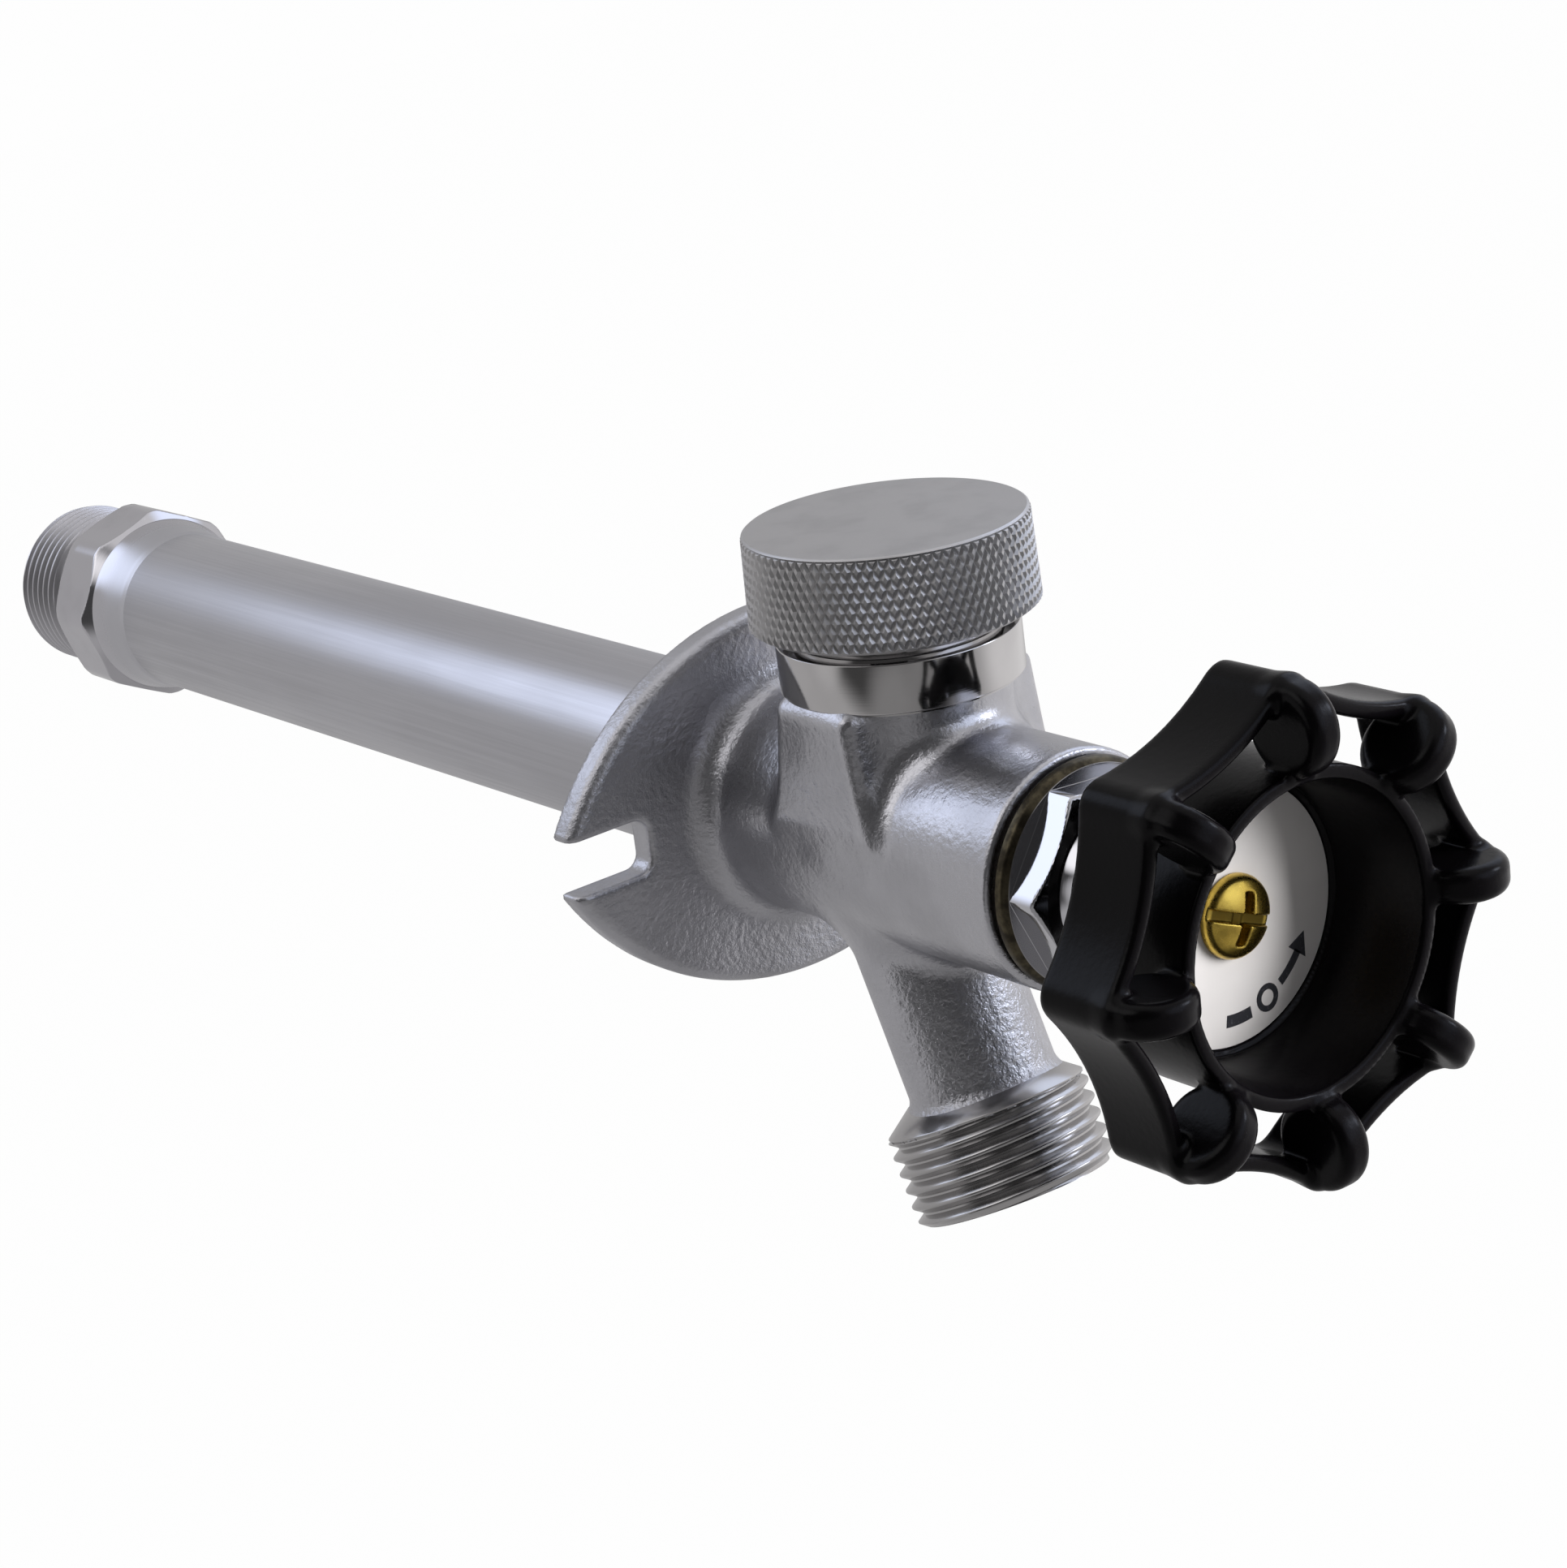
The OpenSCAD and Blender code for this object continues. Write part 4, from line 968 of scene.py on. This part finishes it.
class MakeCap(bpy.types.Operator):
    """Makes the vacuum breaker's knurled cap"""
    bl_idname = "sillcock.cap"
    bl_label = "Knurled cap"

    def execute(self, context):
        look, k = context.scene.sillcock_finishes, context.scene.sillcock_knurl
        finish = cap_metal(look)
        mesh = mesh_of("cap_body", *turned(self.profile(k), 168))
        close_up(mesh)
        body = placed("cap_body", mesh)
        tree = knurl_tree()
        modifier = body.modifiers.new("knurl", "NODES")
        modifier.node_group = tree
        foot_radius = 18.32 - k.depth - 0.04
        values = (k.around, k.rows, k.row_step * MM, k.first * MM, foot_radius * MM, 0.03,
                  (k.depth + 0.03) * MM, k.flat, finish)
        for (name, _), value in zip(KNURL_INPUTS, values):
            modifier[socket_of(tree, name)] = value
        body.update_tag()
        bpy.context.view_layer.update()
        depsgraph = bpy.context.evaluated_depsgraph_get()
        whole = bpy.data.meshes.new_from_object(body.evaluated_get(depsgraph))
        bpy.data.objects.remove(body)
        whole.transform(Matrix.Translation(tuple(BREAKER_FOOT * MM)))
        whole.name = "cap"
        if len(whole.polygons) < 6 * k.around * k.rows:
            raise RuntimeError("the cap's knurl is missing")
        settle("cap", whole, finish, "body", "cap_grey", ["vb_cap"], 20.0)
        return {"FINISHED"}

    def profile(self, k):
        """The cap's outline at the bottom of the knurl's grooves, open below."""
        top, shoulder, knurl_foot, foot = 40.3, 40.0, 28.5, 28.2
        recess, thread, recess_top, inside_top = 14.85, 13.25, 29.4, 37.7
        return outline((0, top), (17.55, top, 0.12), (17.95, shoulder, 0.1), (17.98 - k.depth, shoulder),
                       (18.3 - k.depth, knurl_foot, 0.1), (17.5, foot, 0.1), (recess, foot),
                       (recess, recess_top), (thread, recess_top), (thread, inside_top), (0, inside_top))


class MakeWheel(bpy.types.Operator):
    """Makes the hand wheel and its brass screw"""
    bl_idname = "sillcock.wheel"
    bl_label = "Hand wheel"

    def execute(self, context):
        look, sizes = context.scene.sillcock_finishes, context.scene.sillcock_wheel
        skinned("hand_wheel", wheel_shape, sizes, (-32, -103.1, -32), (32, -69.2, 32), sizes.step,
                wheel_paint(look), "wheel", "wheel_black", ["handle_wheel"])
        # the screw's head gets painted shade in its slot and cross
        bright = brass("screw_brass", look.brass_colour, 0.55, 0.27, shade_recess=True)
        skinned("wheel_screw", screw_shape, sizes, (-5.5, -87.5, -5.5), (5.5, -71.7, 5.5), 0.17,
                bright, "wheel", "brass", ["handle_screw"])
        return {"FINISHED"}


def strip(inner, outer, low, high, ring=False):
    """A thin strip between two lines of (x, z) points, with ends unless it is a ring."""
    n = len(inner)
    verts = [(x, y, z) for y in (low, high) for line in (inner, outer) for x, z in line]
    quads = []
    for i in range(n - 1):
        quads += [(i, i + 1, n + i + 1, n + i), (2 * n + i, 3 * n + i, 3 * n + i + 1, 2 * n + i + 1),
                  (i, 2 * n + i, 2 * n + i + 1, i + 1), (n + i, n + i + 1, 3 * n + i + 1, 3 * n + i)]
    if not ring:
        quads += [(0, n, 3 * n, 2 * n), (n - 1, 3 * n - 1, 4 * n - 1, 2 * n - 1)]
    return verts, quads


def arc(radius, start, end, count, middle=(0.0, 0.0)):
    """Points (x, z) on an arc, its angles in degrees clockwise from the top."""
    angles = np.radians(np.linspace(start, end, count))
    return [(middle[0] + radius * math.sin(a), middle[1] + radius * math.cos(a)) for a in angles]


class MakeLabel(bpy.types.Operator):
    """Makes the label disc with a bar, a ring and a curved arrow"""
    bl_idname = "sillcock.label"
    bl_label = "Label"

    def execute(self, context):
        look = context.scene.sillcock_finishes
        hole, edge, back = 2.3, 15.9, LABEL_FRONT + 0.5
        rows = outline((hole, LABEL_FRONT), (edge, LABEL_FRONT, 0.12), (edge, back), (hole, back))
        turned_piece("label", rows, 144, label_plastic(look), "wheel", "label_white", ["label_disc"], 30.0)
        top, foot = LABEL_FRONT - 0.04, LABEL_FRONT + 0.05
        spots = ((12.6, 159.5), (12.5, 117), (12.5, 117.02), (10.9, 129), (14.2, 129))
        ring_middle, tip, blunt_tip, near, far = (arc(radius, angle, angle, 1)[0] for radius, angle in spots)
        bar = strip(arc(12.0, 172.5, 190.5, 9), arc(13.5, 172.5, 190.5, 9), top, foot)
        ring = strip(arc(1.0, 90, -270, 25, ring_middle), arc(1.75, 90, -270, 25, ring_middle),
                     top, foot, ring=True)
        shaft = strip(arc(12.0, 128, 148, 14), arc(13.1, 128, 148, 14), top, foot)
        head = strip([tip, near], [blunt_tip, far], top, foot)
        verts, quads = [], []
        for points, faces in (bar, ring, shaft, head):
            quads += [tuple(len(verts) + i for i in face) for face in faces]
            verts += points
        marks = mesh_of("label_marks", verts, quads)
        close_up(marks)
        settle("label_marks", marks, label_ink(), "wheel", "label_white", (), 30.0)
        return {"FINISHED"}


class DressInner(bpy.types.Operator):
    """Gives the packing, stem, rod, plunger and vacuum breaker parts their finishes"""
    bl_idname = "sillcock.inner"
    bl_label = "Inner parts"

    def execute(self, context):
        finishes = {
            brass("machined_brass", (0.74, 0.57, 0.27), (0.55, 0.5, 0.45), 0.3):
                ("packing_gland", "packing_washer", "stem", "operating_rod", "plunger", "washer_screw"),
            turned_chrome("pin_steel", (0.55, 0.56, 0.58), 0.25, 0.1): ("swivel_pin",),
            plain_stuff("packing", (0.075, 0.075, 0.08), 0.7, 0.3, 0.05):
                ("packing_ring_front", "packing_ring_back"),
            plain_stuff("rubber", (0.035, 0.035, 0.04), 0.62, 0.5, 0.02):
                ("seat_washer", "vb_ring_seal", "vb_float_seal"),
            plain_stuff("fibre", (0.05, 0.042, 0.032), 0.75, 0.25, 0.03): ("nut_washer",),
            plain_stuff("white_plastic", (0.82, 0.82, 0.79), 0.4, 0.8, 0.01): ("vb_bonnet", "vb_float"),
        }
        for finish, nodes in finishes.items():
            for node in nodes:
                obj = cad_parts[node]
                obj.data.materials.clear()
                obj.data.materials.append(finish)
        return {"FINISHED"}


# Studio

# Soft patches of the tent's cloth: azimuth, elevation, full within, faded at, brightness, tint
NEUTRAL, SKY = (1.0, 0.985, 0.99), (0.9, 0.97, 1.15)
TENT_PATCHES = (
    (0, -90, 35, 60, 0.42, NEUTRAL),
    (0, 90, 20, 50, 0.85, NEUTRAL),
    (180, 5, 40, 75, 0.52, NEUTRAL),
    (-62, 20, 36, 54, 0.07, NEUTRAL),
    (-44, -26, 12, 32, 0.3, NEUTRAL),
    (-8, -18, 12, 34, 0.26, NEUTRAL),
    (-110, 5, 8, 24, 0.62, NEUTRAL),
    (82, 0, 26, 52, 0.9, NEUTRAL),
    (22, 22, 9, 27, 1.3, SKY),
    (-149, 34, 8, 23, 1.65, SKY),
    (100, 40, 12, 26, 1.5, SKY),
    (-96, 44, 8, 24, 1.5, NEUTRAL),
    (52, 24, 4, 9, 9.0, SKY),
)
TENT_RADIUS = 0.8

# The camera's place in metres, the direction from what it looks at back to it, and its roll, in degrees
CAMERA_PLACE = (-0.279979, -0.385172, 0.162348)
CAMERA_AZIMUTH, CAMERA_ELEVATION, CAMERA_ROLL = -36.073, 18.853, -7.579


def toward(azimuth, elevation):
    """A direction: azimuth 0 is straight in front of the wheel and 90 to its right."""
    a, e = math.radians(azimuth), math.radians(elevation)
    return math.sin(a) * math.cos(e), -math.cos(a) * math.cos(e), math.sin(e)


def aimed(place, back, roll=0.0):
    """A matrix at a place for what looks away from the direction back, rolled by degrees."""
    back = np.array(back)
    side = np.cross((0, 0, 1), back)
    side = side / np.linalg.norm(side)
    up = np.cross(back, side)
    c, s = math.cos(math.radians(roll)), math.sin(math.radians(roll))
    turn = Matrix((tuple(c * side + s * up), tuple(c * up - s * side), tuple(back))).transposed().to_4x4()
    return Matrix.Translation(tuple(place)) @ turn


def tent(ambient):
    """A round cloth tent with light and dark patches, which only polished surfaces see."""
    bm = bmesh.new()
    bmesh.ops.create_icosphere(bm, subdivisions=5, radius=TENT_RADIUS)
    mesh = bpy.data.meshes.new("tent")
    bm.to_mesh(mesh)
    bm.free()
    obj = placed("tent", mesh)
    for ray in ("camera", "shadow", "diffuse", "transmission"):
        setattr(obj, "visible_" + ray, False)
    f = Finish("tent", (0, 0, 0))
    way = f.add("ShaderNodeVectorMath", {0: f.place}, operation="NORMALIZE").outputs[0]
    light = shade(NEUTRAL, ambient)
    for azimuth, elevation, full, faded, brightness, tint in TENT_PATCHES:
        near = f.amount("ShaderNodeVectorMath", "Value", {0: way, 1: toward(azimuth, elevation)},
                        operation="DOT_PRODUCT")
        inside = near.between(math.cos(math.radians(faded)), math.cos(math.radians(full)))
        light = f.blend(inside, light, shade(tint, brightness))
    cloth = f.add("ShaderNodeEmission", {"Color": light})
    f.material.cycles.emission_sampling = "NONE"
    f.tree.links.new(cloth.outputs[0], f.output.inputs["Surface"])
    mesh.materials.append(f.material)


class MakeStudio(bpy.types.Operator):
    """Makes the floor, the tent, the lamp and the camera"""
    bl_idname = "sillcock.studio"
    bl_label = "Studio"

    def execute(self, context):
        s = context.scene.sillcock_studio
        self.camera(context.scene)
        self.floor(s.floor_height)
        self.room(context.scene, s.room_light)
        tent(s.tent_light)
        self.lamp(s.key_power)
        context.scene.view_settings.view_transform = "Standard"
        return {"FINISHED"}

    def camera(self, scene):
        data = bpy.data.cameras.new("camera")
        data.sensor_width = 36.0
        data.lens = 87.63
        data.clip_start, data.clip_end = 0.01, 50.0
        scene.camera = placed("camera", data)
        scene.camera.matrix_world = aimed(CAMERA_PLACE, toward(CAMERA_AZIMUTH, CAMERA_ELEVATION), CAMERA_ROLL)

    def floor(self, z):
        mesh = bpy.data.meshes.new("floor")
        mesh.from_pydata([(-6, -6, z), (6, -6, z), (6, 6, z), (-6, 6, z)], [], [(0, 1, 2, 3)])
        f = Finish("floor", (0.86, 0.86, 0.86), Roughness=0.9)
        white = f.add("ShaderNodeEmission", {"Color": (1, 1, 1, 1)})
        mix = f.add("ShaderNodeMixShader", {0: f.seen() * 0.985, 1: f.shader.outputs[0], 2: white.outputs[0]})
        f.tree.links.new(mix.outputs[0], f.output.inputs["Surface"])
        mesh.materials.append(f.material)
        placed("floor", mesh)

    def room(self, scene, strength):
        """An even soft light, which looks white where a camera or a polished surface sees it."""
        scene.world = bpy.data.worlds.new("room")
        scene.world.use_nodes = True
        scene.world.node_tree.nodes.clear()
        b = Bench(scene.world.node_tree)
        light = b.add("ShaderNodeBackground", {"Color": (1, 1, 1, 1),
                                               "Strength": b.seen() * (0.99 - strength) + strength})
        b.add("ShaderNodeOutputWorld", {"Surface": light.outputs[0]})

    def lamp(self, power):
        """A broad lamp in front and to the right, which polished surfaces don't see."""
        data = bpy.data.lights.new("key", "AREA")
        data.shape = "RECTANGLE"
        data.size, data.size_y = 0.45, 0.45
        data.energy = power
        obj = placed("key", data)
        back = toward(47, 4)
        obj.matrix_world = aimed(0.75 * np.array(back), back)
        obj.visible_camera = False
        obj.visible_glossy = False


class SillcockPanel(bpy.types.Panel):
    """Lists the pieces of the sillcock"""
    bl_idname = "VIEW3D_PT_sillcock"
    bl_label = "Sillcock"
    bl_space_type = "VIEW_3D"
    bl_region_type = "UI"
    bl_category = "Sillcock"

    def draw(self, context):
        for operator in STEPS:
            self.layout.operator(operator.bl_idname, text=operator.bl_label)
        for name, kind in SETTINGS.items():
            box = self.layout.box()
            box.label(text=kind.__doc__.split(".")[0].split(",")[0])
            for key in kind.__annotations__:
                box.prop(getattr(context.scene, name), key)


SETTINGS = {"sillcock_casting": CastingSizes, "sillcock_threads": ThreadSizes, "sillcock_knurl": KnurlSizes,
            "sillcock_wheel": WheelSizes, "sillcock_finishes": FinishColours, "sillcock_studio": StudioSizes}
STEPS = (MakeStudio, MakeCasting, MakeTube, MakeInlet, MakeNut, MakeCap, MakeWheel, MakeLabel, DressInner)


def register():
    for kind in (*SETTINGS.values(), *STEPS, SillcockPanel):
        bpy.utils.register_class(kind)
    for name, kind in SETTINGS.items():
        setattr(bpy.types.Scene, name, bpy.props.PointerProperty(type=kind))


def unregister():
    for name in SETTINGS:
        delattr(bpy.types.Scene, name)
    for kind in reversed((*SETTINGS.values(), *STEPS, SillcockPanel)):
        bpy.utils.unregister_class(kind)


def main():
    register()
    for step in STEPS:
        group, name = step.bl_idname.split(".")
        if getattr(getattr(bpy.ops, group), name)() != {"FINISHED"}:
            raise RuntimeError(f"{step.bl_label} was not made")


if __name__ == "__main__":
    main()
